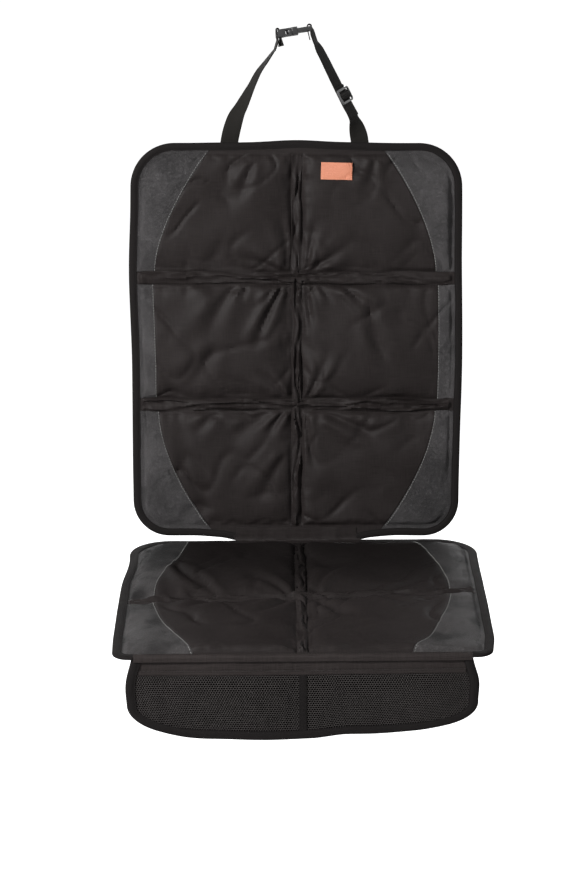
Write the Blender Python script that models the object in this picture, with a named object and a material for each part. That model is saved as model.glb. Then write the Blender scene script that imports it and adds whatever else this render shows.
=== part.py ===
"""Car seat protector mat: a quilted back panel, a quilted seat panel, a pocket flap and a headrest strap.

The mat stands in the shape it takes on a car seat. The seat panel lies flat, the back panel leans
a little from it, the flap hangs over the front and the strap loop rises above the back.
Metres. X is across the mat, +Y points to the rear and +Z up. The origin is on the flat underside
of the seat panel, at its middle.
"""

import math

import bmesh
import bpy
from mathutils import Matrix, Vector

# Layers of cloth, tape and foam
FIT_GAP = 0.0003
CLOTH = 0.0008
TAPE = 0.0008
TAPE_LAP = 0.011
EDGE_LIFT = 0.0014
CLOTH_SETBACK = 0.001
CORNER_STEPS = 6
FLAT_EDGE = 0.013
PAD_EDGE = 0.017
PAD_SHOULDER = 0.0032
PAD_CROWN = 0.0075
CROWN_REACH = 0.075
CHANNEL_RIDGE = 0.0012
CREASE_DEPTH = 0.0016
CREASE_WIDTH = 0.011

# Grid of a padded panel: places of its rows in a cell and of its columns in a half
ROW_SHARES = (0.13, 0.35, 0.65, 0.87)
COLUMN_SHARES = (0.86, 0.68, 0.48, 0.28, 0.12)
NARROWEST_COLUMN = 0.002

# Back panel
BACK_WIDTH = 0.464
BACK_HEIGHT = 0.560
BACK_LEAN = math.radians(8.0)
BACK_TOP_RADIUS = 0.060
BACK_BOTTOM_RADIUS = 0.050
BACK_FOOT_HEIGHT = 0.0125
BACK_FOOT_SETBACK = 0.003
BACK_TURN = math.radians(0.42)
UPPER_CHANNEL_DROP = 0.190
LOWER_CHANNEL_DROP = 0.371
CHANNEL_WIDTH = 0.018
SPINE_WIDTH = 0.015

# Seat panel
SEAT_WIDTH = 0.490
SEAT_DEPTH = 0.450
SEAT_REAR_RADIUS = 0.060
SEAT_FRONT_RADIUS = 0.020
SEAT_CHANNEL_FROM_REAR = 0.228
SEAT_CHANNEL_SKEW = 0.070
FRONT_HEM_LAP = 0.022
FRONT_HEM_DROP = 0.003

# Corner patches: half width of the cloth field where a seam meets the edge and where it meets a channel
BACK_SEAM_AT_EDGE = 0.116
BACK_SEAM_AT_CHANNEL = 0.196
BACK_SEAM_MIDDLE = 0.199
SEAT_SEAM_AT_REAR = 0.150
SEAT_SEAM_AT_FRONT = 0.135
SEAT_SEAM_AT_CHANNEL = 0.198
SEAM_CURVE = 1.7

# Neck between back and seat
NECK_WIDTH = 0.170
NECK_THICK = 0.0011
NECK_LAP = 0.011
NECK_CLEARANCE = 0.0015
NECK_STEPS = 5

# Flap with mesh pockets
FLAP_WIDTH = 0.450
FLAP_TOP_WIDTH = 0.436
FLAP_HEIGHT = 0.110
FLAP_SETBACK = 0.006
FLAP_PANEL = 0.0012
FLAP_CORNER_RISE = 0.040
FLAP_CORNER_RUN = 0.080
POCKET_DROP = 0.017
POCKET_MESH = 0.0006
POCKET_BULGE = 0.0032
POCKET_BULGE_REACH = 0.024
POCKET_SEAM = 0.006
SEAM_TAPE_WIDTH = 0.010
HEM_WIDTH = 0.006
MESH_COLUMNS = 10
MESH_ROWS = 5
MESH_GAP_SHARE = 0.62

# Straps, slide and buckle
WEBBING_WIDTH = 0.025
WEBBING = 0.0014
STRAP_TAIL = 0.032
STRAP_LEFT_X = -0.095
STRAP_RIGHT_X = 0.089
STRAP_RISES = (0.033, 0.055, 0.077, 0.099, 0.121)
STRAP_FIRST_SWAY = 0.008
STRAP_SLOPE = 0.50
STRAP_TOP_LEAN = 0.004
LOOP_HEIGHT = 0.157
BUCKLE_X = 0.001
BUCKLE_TILT = math.radians(-9.0)
BUCKLE_PITCH = math.radians(-12.0)
BUCKLE_WIDTH = 0.033
BUCKLE_THICK = 0.011
BUCKLE_NIP = 0.003
SOCKET_LENGTH = 0.029
SOCKET_WALL = 0.0018
SOCKET_SIDE = 0.0015
SOCKET_COLLAR = 0.007
SOCKET_WAIST = 0.003
SOCKET_RIM_STEP = 0.001
SOCKET_BAR = 0.0024
PLUG_LENGTH = 0.019
PLUG_SLOT_START = 0.006
PRONG_LENGTH = 0.0165
PRONG_TAPER = 0.001
ARM_THICK = 0.0032
ARM_BARB = 0.004
TONGUE_HALF = 0.003
BAR_LENGTH = 0.010
BAR_THICK = 0.004
SLIDE_WIDTH = 0.032
SLIDE_LENGTH = 0.022
SLIDE_THICK = 0.0026
SLIDE_BAR = 0.0032
SLIDE_NIP = 0.003
WEBBING_PLAY = 0.001
CUT_PAST = 0.002
STRAP_STEPS = 4
STRAP_LEFT_TURNS = ((0.18, 0.0), (0.37, 38.0), (0.50, 53.0), (0.60, 64.0), (0.83, 73.0), (1.0, 90.0))
STRAP_RIGHT_TURNS = ((0.18, 0.0), (0.29, 55.0), (0.62, 55.0), (0.85, 62.0), (1.0, 90.0))
SLIDE_TAIL = 0.022
TAIL_PAST_SLIDE = 0.004
TAIL_SAG = 0.0002
LOOP_TAIL = 0.012
LOOP_RUN_IN = 0.004
LOOP_STEPS = 6
STRAP_TOP_DROP = 0.012

# Label on the back panel
LABEL_WIDTH = 0.044
LABEL_HEIGHT = 0.024
LABEL_X = 0.056
LABEL_DROP = 0.038
LABEL_TURN = math.radians(-1.5)
LABEL_THICK = 0.0009
LABEL_LIFT = 0.0004
LABEL_STEPS = 3

# Colours
BLACK_OXFORD = (0.021, 0.018, 0.017)
GREY_GRAIN = (0.062, 0.061, 0.064)
BLACK_TAPE = (0.011, 0.010, 0.010)
DARK_MESH = (0.018, 0.016, 0.016)
GREY_BACKING = (0.060, 0.060, 0.062)
WHITE_FOAM = (0.700, 0.700, 0.690)
BLACK_WEBBING = (0.014, 0.013, 0.012)
BLACK_PLASTIC = (0.008, 0.008, 0.009)
ORANGE_LABEL = (0.790, 0.280, 0.160)

# Heights in a panel's own layers, counted from the flat underside of its backing
BACKING_TOP = CLOTH
PAD_BOTTOM = BACKING_TOP + FIT_GAP
CHANNEL_TOP = PAD_BOTTOM + CLOTH
EDGE_TOP = EDGE_LIFT + CLOTH + FIT_GAP + CLOTH
TAPE_UNDER = EDGE_LIFT - FIT_GAP
TAPE_OVER = EDGE_TOP + FIT_GAP


class Panel:
    """A flat working plane: u across, v along and h out of its face."""

    def __init__(self, origin, across, along):
        self.origin = Vector(origin)
        self.across = Vector(across)
        self.along = Vector(along)
        self.out = self.across.cross(self.along)

    def place(self, u, v, h):
        return self.origin + self.across * u + self.along * v + self.out * h


def back_plane():
    """The leaning panel, turned a little in its own plane about the middle of its top edge."""
    up = Vector((0.0, math.sin(BACK_LEAN), math.cos(BACK_LEAN)))
    right = Vector((1.0, 0.0, 0.0))
    foot = Vector((0.0, SEAT_DEPTH / 2 + BACK_FOOT_SETBACK, BACK_FOOT_HEIGHT))
    along = up * math.cos(BACK_TURN) + right * math.sin(BACK_TURN)
    across = right * math.cos(BACK_TURN) - up * math.sin(BACK_TURN)
    return Panel(foot + up * BACK_HEIGHT - along * BACK_HEIGHT, across, along)


SEAT_PLANE = Panel((0.0, 0.0, 0.0), (1.0, 0.0, 0.0), (0.0, 1.0, 0.0))
BACK_PLANE = back_plane()
FLAP_PLANE = Panel((0.0, -SEAT_DEPTH / 2 + FLAP_SETBACK, 0.0), (1.0, 0.0, 0.0), (0.0, 0.0, 1.0))


def clear_scene():
    for item in list(bpy.data.objects):
        bpy.data.objects.remove(item, do_unlink=True)


def material(name, colour, roughness, metallic=0.0):
    made = bpy.data.materials.new(name)
    made.use_nodes = True
    shader = made.node_tree.nodes["Principled BSDF"]
    shader.inputs["Base Color"].default_value = (*colour, 1.0)
    shader.inputs["Roughness"].default_value = roughness
    shader.inputs["Metallic"].default_value = metallic
    return made


def add_node(name, points, faces, finish, smooth_angle=35.0):
    """Make one closed mesh object from points and faces."""
    mesh = bpy.data.meshes.new(name)
    mesh.from_pydata([tuple(p) for p in points], [], faces)
    mesh.update()
    mesh.materials.append(finish)
    shaped = bmesh.new()
    shaped.from_mesh(mesh)
    bmesh.ops.recalc_face_normals(shaped, faces=shaped.faces)
    shaped.to_mesh(mesh)
    shaped.free()
    mesh.shade_smooth()
    mesh.set_sharp_from_angle(angle=math.radians(smooth_angle))
    made = bpy.data.objects.new(name, mesh)
    bpy.context.scene.collection.objects.link(made)
    return made


class Outline:
    """A rectangle with its own corner radii, in a panel's u and v."""

    def __init__(self, width, low, high, low_radius, high_radius):
        self.half = width / 2
        self.low = low
        self.high = high
        self.low_radius = low_radius
        self.high_radius = high_radius

    def half_width(self, v, inset=0.0):
        """Half width at v of the outline moved in by inset."""
        for radius, depth in ((self.high_radius, self.high - v), (self.low_radius, v - self.low)):
            if depth < radius:
                bend = max((radius - inset) ** 2 - (radius - depth) ** 2, 0.0) if inset < radius else 0.0
                return self.half - radius + math.sqrt(bend)
        return self.half - inset

    def inside(self, u, v):
        """Distance from a point to the edge, positive inside."""
        across = self.half - abs(u)
        up = min(self.high - v, v - self.low)
        radius = self.high_radius if self.high - v < v - self.low else self.low_radius
        if across < radius and up < radius:
            return radius - math.hypot(radius - across, radius - up)
        return min(across, up)

    def corner(self, side, top, steps, inset=0.0):
        """Points round one corner, from the side edge to the top or bottom edge."""
        radius = self.high_radius if top else self.low_radius
        turn = 1.0 if top else -1.0
        centre_v = self.high - radius if top else self.low + radius
        reach = radius - inset
        points = []
        for k in range(steps + 1):
            angle = math.pi / 2 * k / steps
            u = side * (self.half - radius + reach * math.cos(angle))
            points.append((u, centre_v + turn * reach * math.sin(angle)))
        return points


BACK_OUTLINE = Outline(BACK_WIDTH, 0.0, BACK_HEIGHT, BACK_BOTTOM_RADIUS, BACK_TOP_RADIUS)
SEAT_OUTLINE = Outline(SEAT_WIDTH, -SEAT_DEPTH / 2, SEAT_DEPTH / 2, SEAT_FRONT_RADIUS, SEAT_REAR_RADIUS)


def ease(share):
    share = min(max(share, 0.0), 1.0)
    return share * share * (3.0 - 2.0 * share)


class Quilt:
    """A padded panel: a grid of nodes shared by its face cloth, patches and foam pads."""

    def __init__(self, plane, outline, channels, seam_half, low_edge, creases, skew=0.0):
        self.plane = plane
        self.outline = outline
        self.channels = channels
        self.seam_half = seam_half
        self.low_edge = low_edge
        self.creases = creases
        self.skew = skew
        self.rows, self.row_zone = self.make_rows()
        self.columns = [self.make_columns(v) for v in self.rows]
        self.seam_columns = (3, len(self.columns[0]) - 4)
        self.spine_columns = (self.seam_columns[0] + 7, self.seam_columns[1] - 7)

    def make_rows(self):
        """Row heights from low to high, and the cell or channel that each gap between rows is in."""
        low = self.outline.low
        high = self.outline.high
        edges = [low + self.low_edge]
        for middle in self.channels:
            edges += [middle - CHANNEL_WIDTH / 2, middle + CHANNEL_WIDTH / 2]
        edges.append(high - FLAT_EDGE)
        rows = [low + CLOTH_SETBACK, low + self.low_edge / 2]
        zone = ["cell0", "cell0"]
        shoulder = PAD_EDGE - FLAT_EDGE
        for cell in range(len(self.channels) + 1):
            start = edges[2 * cell]
            stop = edges[2 * cell + 1]
            inner = stop - start - 2 * shoulder
            rows += [start, start + shoulder]
            rows += [start + shoulder + inner * share for share in ROW_SHARES]
            rows.append(stop - shoulder)
            zone += [f"cell{cell}"] * 7
            if cell < len(self.channels):
                rows += [stop, (stop + edges[2 * cell + 2]) / 2]
                zone += [f"channel{cell}"] * 2
        rows += [high - FLAT_EDGE, high - FLAT_EDGE / 3, high - CLOTH_SETBACK]
        last = f"cell{len(self.channels)}"
        zone += [last, last]
        return rows, zone

    def make_columns(self, v):
        """Column places across the panel at one row, symmetrical about the spine."""
        seam = self.seam_half(v)
        edge = self.outline.half_width(v, CLOTH_SETBACK)
        flat = min(self.outline.half_width(v, FLAT_EDGE), edge - NARROWEST_COLUMN)
        shoulder = min(self.outline.half_width(v, PAD_EDGE), flat - NARROWEST_COLUMN)
        near = SPINE_WIDTH / 2
        inner = near + PAD_EDGE - FLAT_EDGE
        half = [edge, flat, shoulder, min(seam, shoulder - NARROWEST_COLUMN)]
        field = half[-1] - inner
        half += [inner + field * share for share in COLUMN_SHARES]
        half += [inner, near]
        return [-u for u in half] + [0.0] + half[::-1]

    def lay(self, u, v, h):
        """Place a grid node, with a single cross channel running askew if the panel has a skew."""
        if self.skew:
            middle = self.channels[0]
            low = self.outline.low + self.low_edge
            high = self.outline.high - FLAT_EDGE
            share = (v - low) / (middle - low) if v < middle else (high - v) / (high - middle)
            v += self.skew * u * min(max(share, 0.0), 1.0)
        return self.plane.place(u, v, h)

    def margin(self, u, v):
        """Distance in from the flat margin that the binding or the hem laps."""
        return min(self.outline.inside(u, v) - FLAT_EDGE, v - self.outline.low - self.low_edge)

    def from_channel(self, u, v):
        """Distance from a point to the nearest stitched channel, negative in a channel."""
        border = abs(u) - SPINE_WIDTH / 2
        for middle in self.channels:
            border = min(border, abs(v - middle) - CHANNEL_WIDTH / 2)
        return border

    def top(self, u, v):
        """Height of the face cloth's outer side."""
        margin = self.margin(u, v)
        if margin <= 0.0:
            return EDGE_TOP
        shoulder = PAD_EDGE - FLAT_EDGE
        border = self.from_channel(u, v)
        if border <= 0.0:
            inner = CHANNEL_TOP + CHANNEL_RIDGE * ease(-border / (SPINE_WIDTH / 2))
        else:
            crown = math.sin(math.pi / 2 * min(min(border, margin) / CROWN_REACH, 1.0))
            inner = CHANNEL_TOP + PAD_SHOULDER * ease(border / shoulder) + (PAD_CROWN - PAD_SHOULDER) * crown
            inner -= self.crease(u, v) * ease(min(border, margin) / FLAT_EDGE)
        return EDGE_TOP + (inner - EDGE_TOP) * min(margin / shoulder, 1.0)

    def crease(self, u, v):
        """Depth of the creases that fan out from the quilting crossings."""
        depth = 0.0
        for start_u, start_v, end_u, end_v in self.creases:
            run_u = end_u - start_u
            run_v = end_v - start_v
            length = math.hypot(run_u, run_v)
            share = ((u - start_u) * run_u + (v - start_v) * run_v) / length**2
            away = abs((u - start_u) * run_v - (v - start_v) * run_u) / length
            if 0.0 < share < 1.0:
                fade = math.sin(math.pi * share)
                depth += CREASE_DEPTH * fade * max(0.0, 1.0 - away / CREASE_WIDTH)
        return min(depth, CREASE_DEPTH)

    def slab(self, name, tiles, top, bottom, finish, trim):
        """A sheet or pad over the given grid tiles, its inner borders moved in by trim."""
        sides = {}
        for row, col in tiles:
            ring = [(row, col), (row, col + 1), (row + 1, col + 1), (row + 1, col)]
            for k in range(4):
                sides[(ring[k], ring[(k + 1) % 4])] = True
        border = [edge for edge in sides if (edge[1], edge[0]) not in sides]
        shift = {}
        last_row = len(self.rows) - 1
        last_col = len(self.columns[0]) - 1
        for a, b in border:
            outer_row = a[0] == b[0] and a[0] in (0, last_row)
            outer_col = a[1] == b[1] and a[1] in (0, last_col)
            if outer_row or outer_col:
                continue
            run_u = self.columns[b[0]][b[1]] - self.columns[a[0]][a[1]]
            run_v = self.rows[b[0]] - self.rows[a[0]]
            length = math.hypot(run_u, run_v)
            for node in (a, b):
                inward = shift.setdefault(node, Vector((0.0, 0.0)))
                inward += Vector((-run_v / length, run_u / length))
        points = []
        index = {}
        nodes = sorted({node for edge in sides for node in edge})
        for node in nodes:
            u = self.columns[node[0]][node[1]]
            v = self.rows[node[0]]
            move = shift.get(node, Vector((0.0, 0.0)))
            if move.length > 1.0:
                move = move / max(move.length_squared / 2, 0.5)
            u += move[0] * trim
            v += move[1] * trim
            index[node] = len(points)
            points.append(self.lay(u, v, top(u, v)))
            points.append(self.lay(u, v, bottom(u, v)))
        faces = []
        for row, col in tiles:
            a, b, c, d = (index[n] for n in ((row, col), (row, col + 1), (row + 1, col + 1), (row + 1, col)))
            faces += [(a, b, c), (a, c, d), (a + 1, c + 1, b + 1), (a + 1, d + 1, c + 1)]
        for a, b in border:
            low, high = index[a], index[b]
            faces += [(low, low + 1, high + 1), (low, high + 1, high)]
        return add_node(name, points, faces, finish)

    def tiles_where(self, wanted):
        rows = range(len(self.rows) - 1)
        columns = range(len(self.columns[0]) - 1)
        return [(row, col) for row in rows for col in columns if wanted(row, col)]

    def patch_tiles(self, cell, side):
        """Tiles outside the seam, in one cell and on one side."""
        left, right = self.seam_columns
        if side < 0:
            return self.tiles_where(lambda row, col: self.row_zone[row] == cell and col < left)
        return self.tiles_where(lambda row, col: self.row_zone[row] == cell and col >= right)

    def field_tiles(self):
        """Tiles of the main cloth: all between the seams, and the channels out to the edge."""
        left, right = self.seam_columns

        def wanted(row, col):
            return left <= col < right or self.row_zone[row].startswith("channel")
        return self.tiles_where(wanted)

    def pad_tiles(self, cell, side):
        """Tiles over one foam pad."""

        def wanted(row, col):
            if self.row_zone[row] != cell:
                return False
            v_low, v_high = self.rows[row], self.rows[row + 1]
            corners = [(self.columns[row][col + k], v_low) for k in (0, 1)]
            corners += [(self.columns[row + 1][col + k], v_high) for k in (0, 1)]
            inside = min(min(self.margin(u, v), self.from_channel(u, v)) for u, v in corners)
            return corners[0][0] * side > 0 and inside > (PAD_EDGE - FLAT_EDGE) * 0.6
        return self.tiles_where(wanted)

    def face(self, name, finish):
        return self.slab(name, self.field_tiles(), self.top, self.face_under, finish, FIT_GAP / 2)

    def face_under(self, u, v):
        return self.top(u, v) - CLOTH

    def patch(self, name, cell, side, finish):
        return self.slab(name, self.patch_tiles(cell, side), self.top, self.face_under, finish, FIT_GAP / 2)

    def pad(self, name, cell, side, finish):
        def pad_top(u, v):
            return self.face_under(u, v) - FIT_GAP

        def pad_bottom(u, v):
            return PAD_BOTTOM
        return self.slab(name, self.pad_tiles(cell, side), pad_top, pad_bottom, finish, 0.0)


def outline_loop(outline, inset, steps):
    """The whole outline, moved in by inset, from the high right corner round by the left."""
    loop = outline.corner(1.0, True, steps, inset)
    loop += outline.corner(-1.0, True, steps, inset)[::-1]
    loop += outline.corner(-1.0, False, steps, inset)
    loop += outline.corner(1.0, False, steps, inset)[::-1]
    return loop


def backing(name, plane, outline, low_edge, finish):
    """The lower cloth: flat in the field, lifted at its margin to leave room for the tape."""
    rings = []
    for inset in (CLOTH_SETBACK, TAPE_LAP + 0.001, FLAT_EDGE + 0.002):
        loop = outline_loop(outline, inset, CORNER_STEPS)
        drop = max(low_edge - FLAT_EDGE, 0.0) if inset > CLOTH_SETBACK else 0.0
        middle = (outline.low + outline.high) / 2
        rings.append([(u, v + (drop if v < middle else 0.0)) for u, v in loop])
    heights = (EDGE_LIFT, EDGE_LIFT, 0.0)
    count = len(rings[0])
    points = []
    for thick in (CLOTH, 0.0):
        for ring, height in zip(rings, heights):
            points += [plane.place(u, v, height + thick) for u, v in ring]
    under = 3 * count
    field = range(2 * count, 3 * count)
    faces = [tuple(field), tuple(under + k for k in reversed(field))]
    for k in range(count):
        nxt = (k + 1) % count
        for ring in range(2):
            a, b = ring * count + k, ring * count + nxt
            faces.append((a, b, b + count, a + count))
            faces.append((under + a, under + a + count, under + b + count, under + b))
        faces.append((k, under + k, under + nxt, nxt))
    return add_node(name, points, faces, finish)


def tape(name, plane, path, profile, finish):
    """Sweep a profile of (outward, height) points along a path of (u, v) points in a panel."""
    points = []
    count = len(path)
    for k, (u, v) in enumerate(path):
        before = path[k - 1] if k > 0 else path[0]
        after = path[k + 1] if k < count - 1 else path[-1]
        first = Vector((u - before[0], v - before[1]))
        second = Vector((after[0] - u, after[1] - v))
        first = first.normalized() if first.length else second.normalized()
        second = second.normalized() if second.length else first
        along = (first + second).normalized()
        stretch = 1.0 / max(along.dot(first), 0.5)
        outward = Vector((-along[1], along[0])) * stretch
        points += [plane.place(u + outward[0] * o, v + outward[1] * o, h) for o, h in profile]
    size = len(profile)
    faces = [tuple(range(size)), tuple(range(count * size - 1, (count - 1) * size - 1, -1))]
    for k in range(count - 1):
        for j in range(size):
            nxt = (j + 1) % size
            a, b = k * size + j, k * size + nxt
            faces.append((a, b, b + size, a + size))
    return add_node(name, points, faces, finish)


def wrap_profile(lap, under, over, thick=TAPE):
    """A tape folded round an edge: open inwards, with a lap over and a lap under."""
    reach = FIT_GAP + thick
    return [
        (-lap, over), (FIT_GAP, over), (FIT_GAP, under), (-lap, under),
        (-lap, under - thick), (reach, under - thick), (reach, over + thick), (-lap, over + thick),
    ]


def back_binding(finish):
    """The tape round the back panel, from one side of the neck to the other."""
    start = NECK_WIDTH / 2 + NECK_CLEARANCE
    path = [(start, BACK_OUTLINE.low)]
    path += BACK_OUTLINE.corner(1.0, False, CORNER_STEPS)[::-1]
    path += BACK_OUTLINE.corner(1.0, True, CORNER_STEPS)
    path += BACK_OUTLINE.corner(-1.0, True, CORNER_STEPS)[::-1]
    path += BACK_OUTLINE.corner(-1.0, False, CORNER_STEPS)
    path.append((-start, BACK_OUTLINE.low))
    profile = wrap_profile(TAPE_LAP, TAPE_UNDER, TAPE_OVER)
    return tape("back_binding", BACK_PLANE, path[::-1], profile, finish)


def seat_binding(name, side, finish):
    """The tape round one side of the seat panel, from the neck to the flap."""
    path = [(side * (NECK_WIDTH / 2 + NECK_CLEARANCE), SEAT_OUTLINE.high)]
    path += SEAT_OUTLINE.corner(side, True, CORNER_STEPS)[::-1]
    path += SEAT_OUTLINE.corner(side, False, CORNER_STEPS)
    path.append((side * (hem_half() + FIT_GAP), SEAT_OUTLINE.low))
    profile = wrap_profile(TAPE_LAP, TAPE_UNDER, TAPE_OVER)
    return tape(name, SEAT_PLANE, path if side > 0 else path[::-1], profile, finish)


def hem_half():
    """Half length of the front hem: past the flap's top corners, but short of the panel's round ones."""
    return min(FLAP_TOP_WIDTH, SEAT_WIDTH - 2 * SEAT_FRONT_RADIUS) / 2 + TAPE + FIT_GAP


def front_hem(finish):
    """The cloth hem that covers the front edge of the seat panel between the two tapes."""
    half = hem_half()
    reach = FIT_GAP + CLOTH
    profile = [
        (-FRONT_HEM_LAP, TAPE_OVER), (FIT_GAP, TAPE_OVER), (FIT_GAP, -FRONT_HEM_DROP),
        (reach, -FRONT_HEM_DROP), (reach, TAPE_OVER + CLOTH), (-FRONT_HEM_LAP, TAPE_OVER + CLOTH),
    ]
    path = [(half, SEAT_OUTLINE.low), (-half, SEAT_OUTLINE.low)]
    return tape("seat_front_hem", SEAT_PLANE, path, profile, finish)


def neck_side(half):
    """One side edge of the neck strip, from its lap on the seat panel up to its lap on the back panel."""
    seat_start = SEAT_PLANE.place(half, SEAT_OUTLINE.high - NECK_LAP, TAPE_OVER)
    seat_turn = SEAT_PLANE.place(half, SEAT_OUTLINE.high - NECK_LAP / 2, TAPE_OVER)
    back_turn = BACK_PLANE.place(half, 0.001, TAPE_OVER)
    back_end = BACK_PLANE.place(half, NECK_LAP, TAPE_OVER)
    corner = Vector(((seat_turn.x + back_turn.x) / 2, back_turn.y, TAPE_OVER))
    route = [seat_start]
    for k in range(NECK_STEPS + 1):
        t = k / NECK_STEPS
        route.append((1 - t) ** 2 * seat_turn + 2 * t * (1 - t) * corner + t**2 * back_turn)
    route.append(back_end)
    return route


def neck(finish):
    """The doubled cloth strip that joins the back panel to the seat panel."""
    left = neck_side(-NECK_WIDTH / 2)
    right = neck_side(NECK_WIDTH / 2)
    last = len(left) - 1
    points = []
    for k in range(len(left)):
        along = (left[min(k + 1, last)] - left[max(k - 1, 0)]).normalized()
        upper = Vector((0.0, -along.z, along.y)) * NECK_THICK
        points += [left[k], right[k], right[k] + upper, left[k] + upper]
    faces = [(0, 1, 2, 3), tuple(len(points) - k for k in (1, 2, 3, 4))]
    for k in range(last):
        for j in range(4):
            nxt = (j + 1) % 4
            faces.append((4 * k + j, 4 * k + nxt, 4 * k + 4 + nxt, 4 * k + 4 + j))
    return add_node("neck_strip", points, faces, finish)


def flap_edge(side, inset=0.0):
    """Half of the flap's outline, from its top corner down and in to near its middle."""
    top = EDGE_LIFT - FIT_GAP
    widest = -FLAP_HEIGHT + FLAP_CORNER_RISE
    points = [(side * (FLAP_TOP_WIDTH / 2 - inset), top), (side * (FLAP_WIDTH / 2 - inset), widest)]
    for k in range(1, CORNER_STEPS + 1):
        angle = math.pi / 2 * k / CORNER_STEPS
        u = FLAP_WIDTH / 2 - inset - (FLAP_CORNER_RUN - inset) * (1.0 - math.cos(angle))
        points.append((side * u, widest - (FLAP_CORNER_RISE - inset) * math.sin(angle)))
    return points


def flap_side(v):
    """Half width of the flap at one height above its corner curve."""
    share = min(max(-v / (FLAP_HEIGHT - FLAP_CORNER_RISE), 0.0), 1.0)
    return (FLAP_TOP_WIDTH + (FLAP_WIDTH - FLAP_TOP_WIDTH) * share) / 2


def flap_low(u):
    """Height of the flap's lower edge at one place across."""
    past = max(abs(u) - (FLAP_WIDTH / 2 - FLAP_CORNER_RUN), 0.0) / FLAP_CORNER_RUN
    return -FLAP_HEIGHT + FLAP_CORNER_RISE * (1.0 - math.sqrt(max(1.0 - past**2, 0.0)))


def flap_panel(finish):
    loop = flap_edge(1.0, CLOTH_SETBACK) + flap_edge(-1.0, CLOTH_SETBACK)[::-1]
    points = [FLAP_PLANE.place(u, v, EDGE_LIFT) for u, v in loop]
    points += [FLAP_PLANE.place(u, v, EDGE_LIFT + FLAP_PANEL) for u, v in loop]
    count = len(loop)
    faces = [tuple(range(count)), tuple(range(2 * count - 1, count - 1, -1))]
    for k in range(count):
        nxt = (k + 1) % count
        faces.append((k, nxt, count + nxt, count + k))
    return add_node("flap_panel", points, faces, finish)


def flap_binding(finish):
    path = flap_edge(1.0) + flap_edge(-1.0)[::-1]
    over = EDGE_LIFT + FLAP_PANEL + FIT_GAP + POCKET_MESH + FIT_GAP
    profile = wrap_profile(TAPE_LAP, EDGE_LIFT - FIT_GAP, over)
    return tape("flap_binding", FLAP_PLANE, path, profile, finish)


class Pocket:
    """One half of the net pocket on the flap."""

    def __init__(self, side):
        self.side = side
        self.top = -POCKET_DROP - HEM_WIDTH / 2
        self.net_under = EDGE_LIFT + FLAP_PANEL + FIT_GAP
        self.border = TAPE_LAP / 2

    def share(self, step, pairs):
        """Place of a grid line between bars and gaps, from 0 to 1."""
        pair, part = divmod(step, 2)
        bar = 1.0 - MESH_GAP_SHARE
        return (pair + (bar if part else 0.0)) / (pairs + bar)

    def bulge(self, u, v):
        """How far the net stands off where no tape holds it down."""
        flat = TAPE_LAP * 1.5
        free = min(v - flap_low(u) - flat, flap_side(v) - abs(u) - flat)
        free = min(free, self.top - HEM_WIDTH - v, abs(u) - POCKET_SEAM)
        return POCKET_BULGE * ease(free / POCKET_BULGE_REACH)

    def node(self, row, col):
        across = self.share(col, MESH_COLUMNS)
        down = self.share(row, MESH_ROWS)
        inner = POCKET_SEAM / 2
        outer = flap_side(self.top) - self.border
        u = inner + (outer - inner) * across
        v = self.top + (flap_low(u) + self.border - self.top) * down
        return FLAP_PLANE.place(self.side * u, v, self.net_under + self.bulge(u, v))

    def net(self, name, finish):
        """A wall with rows of open gaps between ridges of net."""
        columns = 2 * MESH_COLUMNS + 1
        rows = 2 * MESH_ROWS + 1
        points = []
        index = {}
        for row in range(rows + 1):
            for col in range(columns + 1):
                index[(row, col)] = len(points)
                under = self.node(row, col)
                points += [under + FLAP_PLANE.out * POCKET_MESH, under]
        faces = []
        sides = set()
        for row in range(rows):
            for col in range(columns):
                if row % 2 and col % 2:
                    continue
                ring = [(row, col), (row, col + 1), (row + 1, col + 1), (row + 1, col)]
                a, b, c, d = (index[n] for n in ring)
                faces += [(a, b, c), (a, c, d), (a + 1, c + 1, b + 1), (a + 1, d + 1, c + 1)]
                sides.update((ring[k], ring[(k + 1) % 4]) for k in range(4))
        for a, b in sorted(sides):
            if (b, a) not in sides:
                low, high = index[a], index[b]
                faces += [(low, low + 1, high + 1), (low, high + 1, high)]
        return add_node(name, points, faces, finish)


def pocket_tapes(finish):
    """The hem tape along the top of the pockets and the tape down the seam between them."""
    over = EDGE_LIFT + FLAP_PANEL + 2 * FIT_GAP + POCKET_MESH
    half = FLAP_TOP_WIDTH / 2 - TAPE_LAP - FIT_GAP
    level = -POCKET_DROP - HEM_WIDTH / 2
    tape("pocket_hem", FLAP_PLANE, [(half, level), (-half, level)], flat_profile(HEM_WIDTH, over), finish)
    low = -FLAP_HEIGHT + TAPE_LAP + FIT_GAP
    path = [(0.0, -POCKET_DROP - HEM_WIDTH - FIT_GAP), (0.0, low)]
    tape("pocket_seam_tape", FLAP_PLANE, path, flat_profile(SEAM_TAPE_WIDTH, over), finish)


def flat_profile(width, over):
    """A flat tape lying on a surface."""
    half = width / 2
    return [(-half, over), (half, over), (half, over + TAPE), (-half, over + TAPE)]


def spline_point(p0, p1, p2, p3, t):
    """Catmull-Rom point at share t from p1 to p2."""
    first = (p2 - p0) * t
    second = (2 * p0 - 5 * p1 + 4 * p2 - p3) * t**2
    third = (3 * p1 - p0 - 3 * p2 + p3) * t**3
    return 0.5 * (2 * p1 + first + second + third)


def smooth_path(points, steps):
    """A smooth curve through a few chosen points."""
    found = []
    padded = [points[0]] + points + [points[-1]]
    for k in range(1, len(padded) - 2):
        for j in range(steps):
            found.append(spline_point(*padded[k - 1 : k + 3], j / steps))
    found.append(points[-1])
    return found


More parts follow.
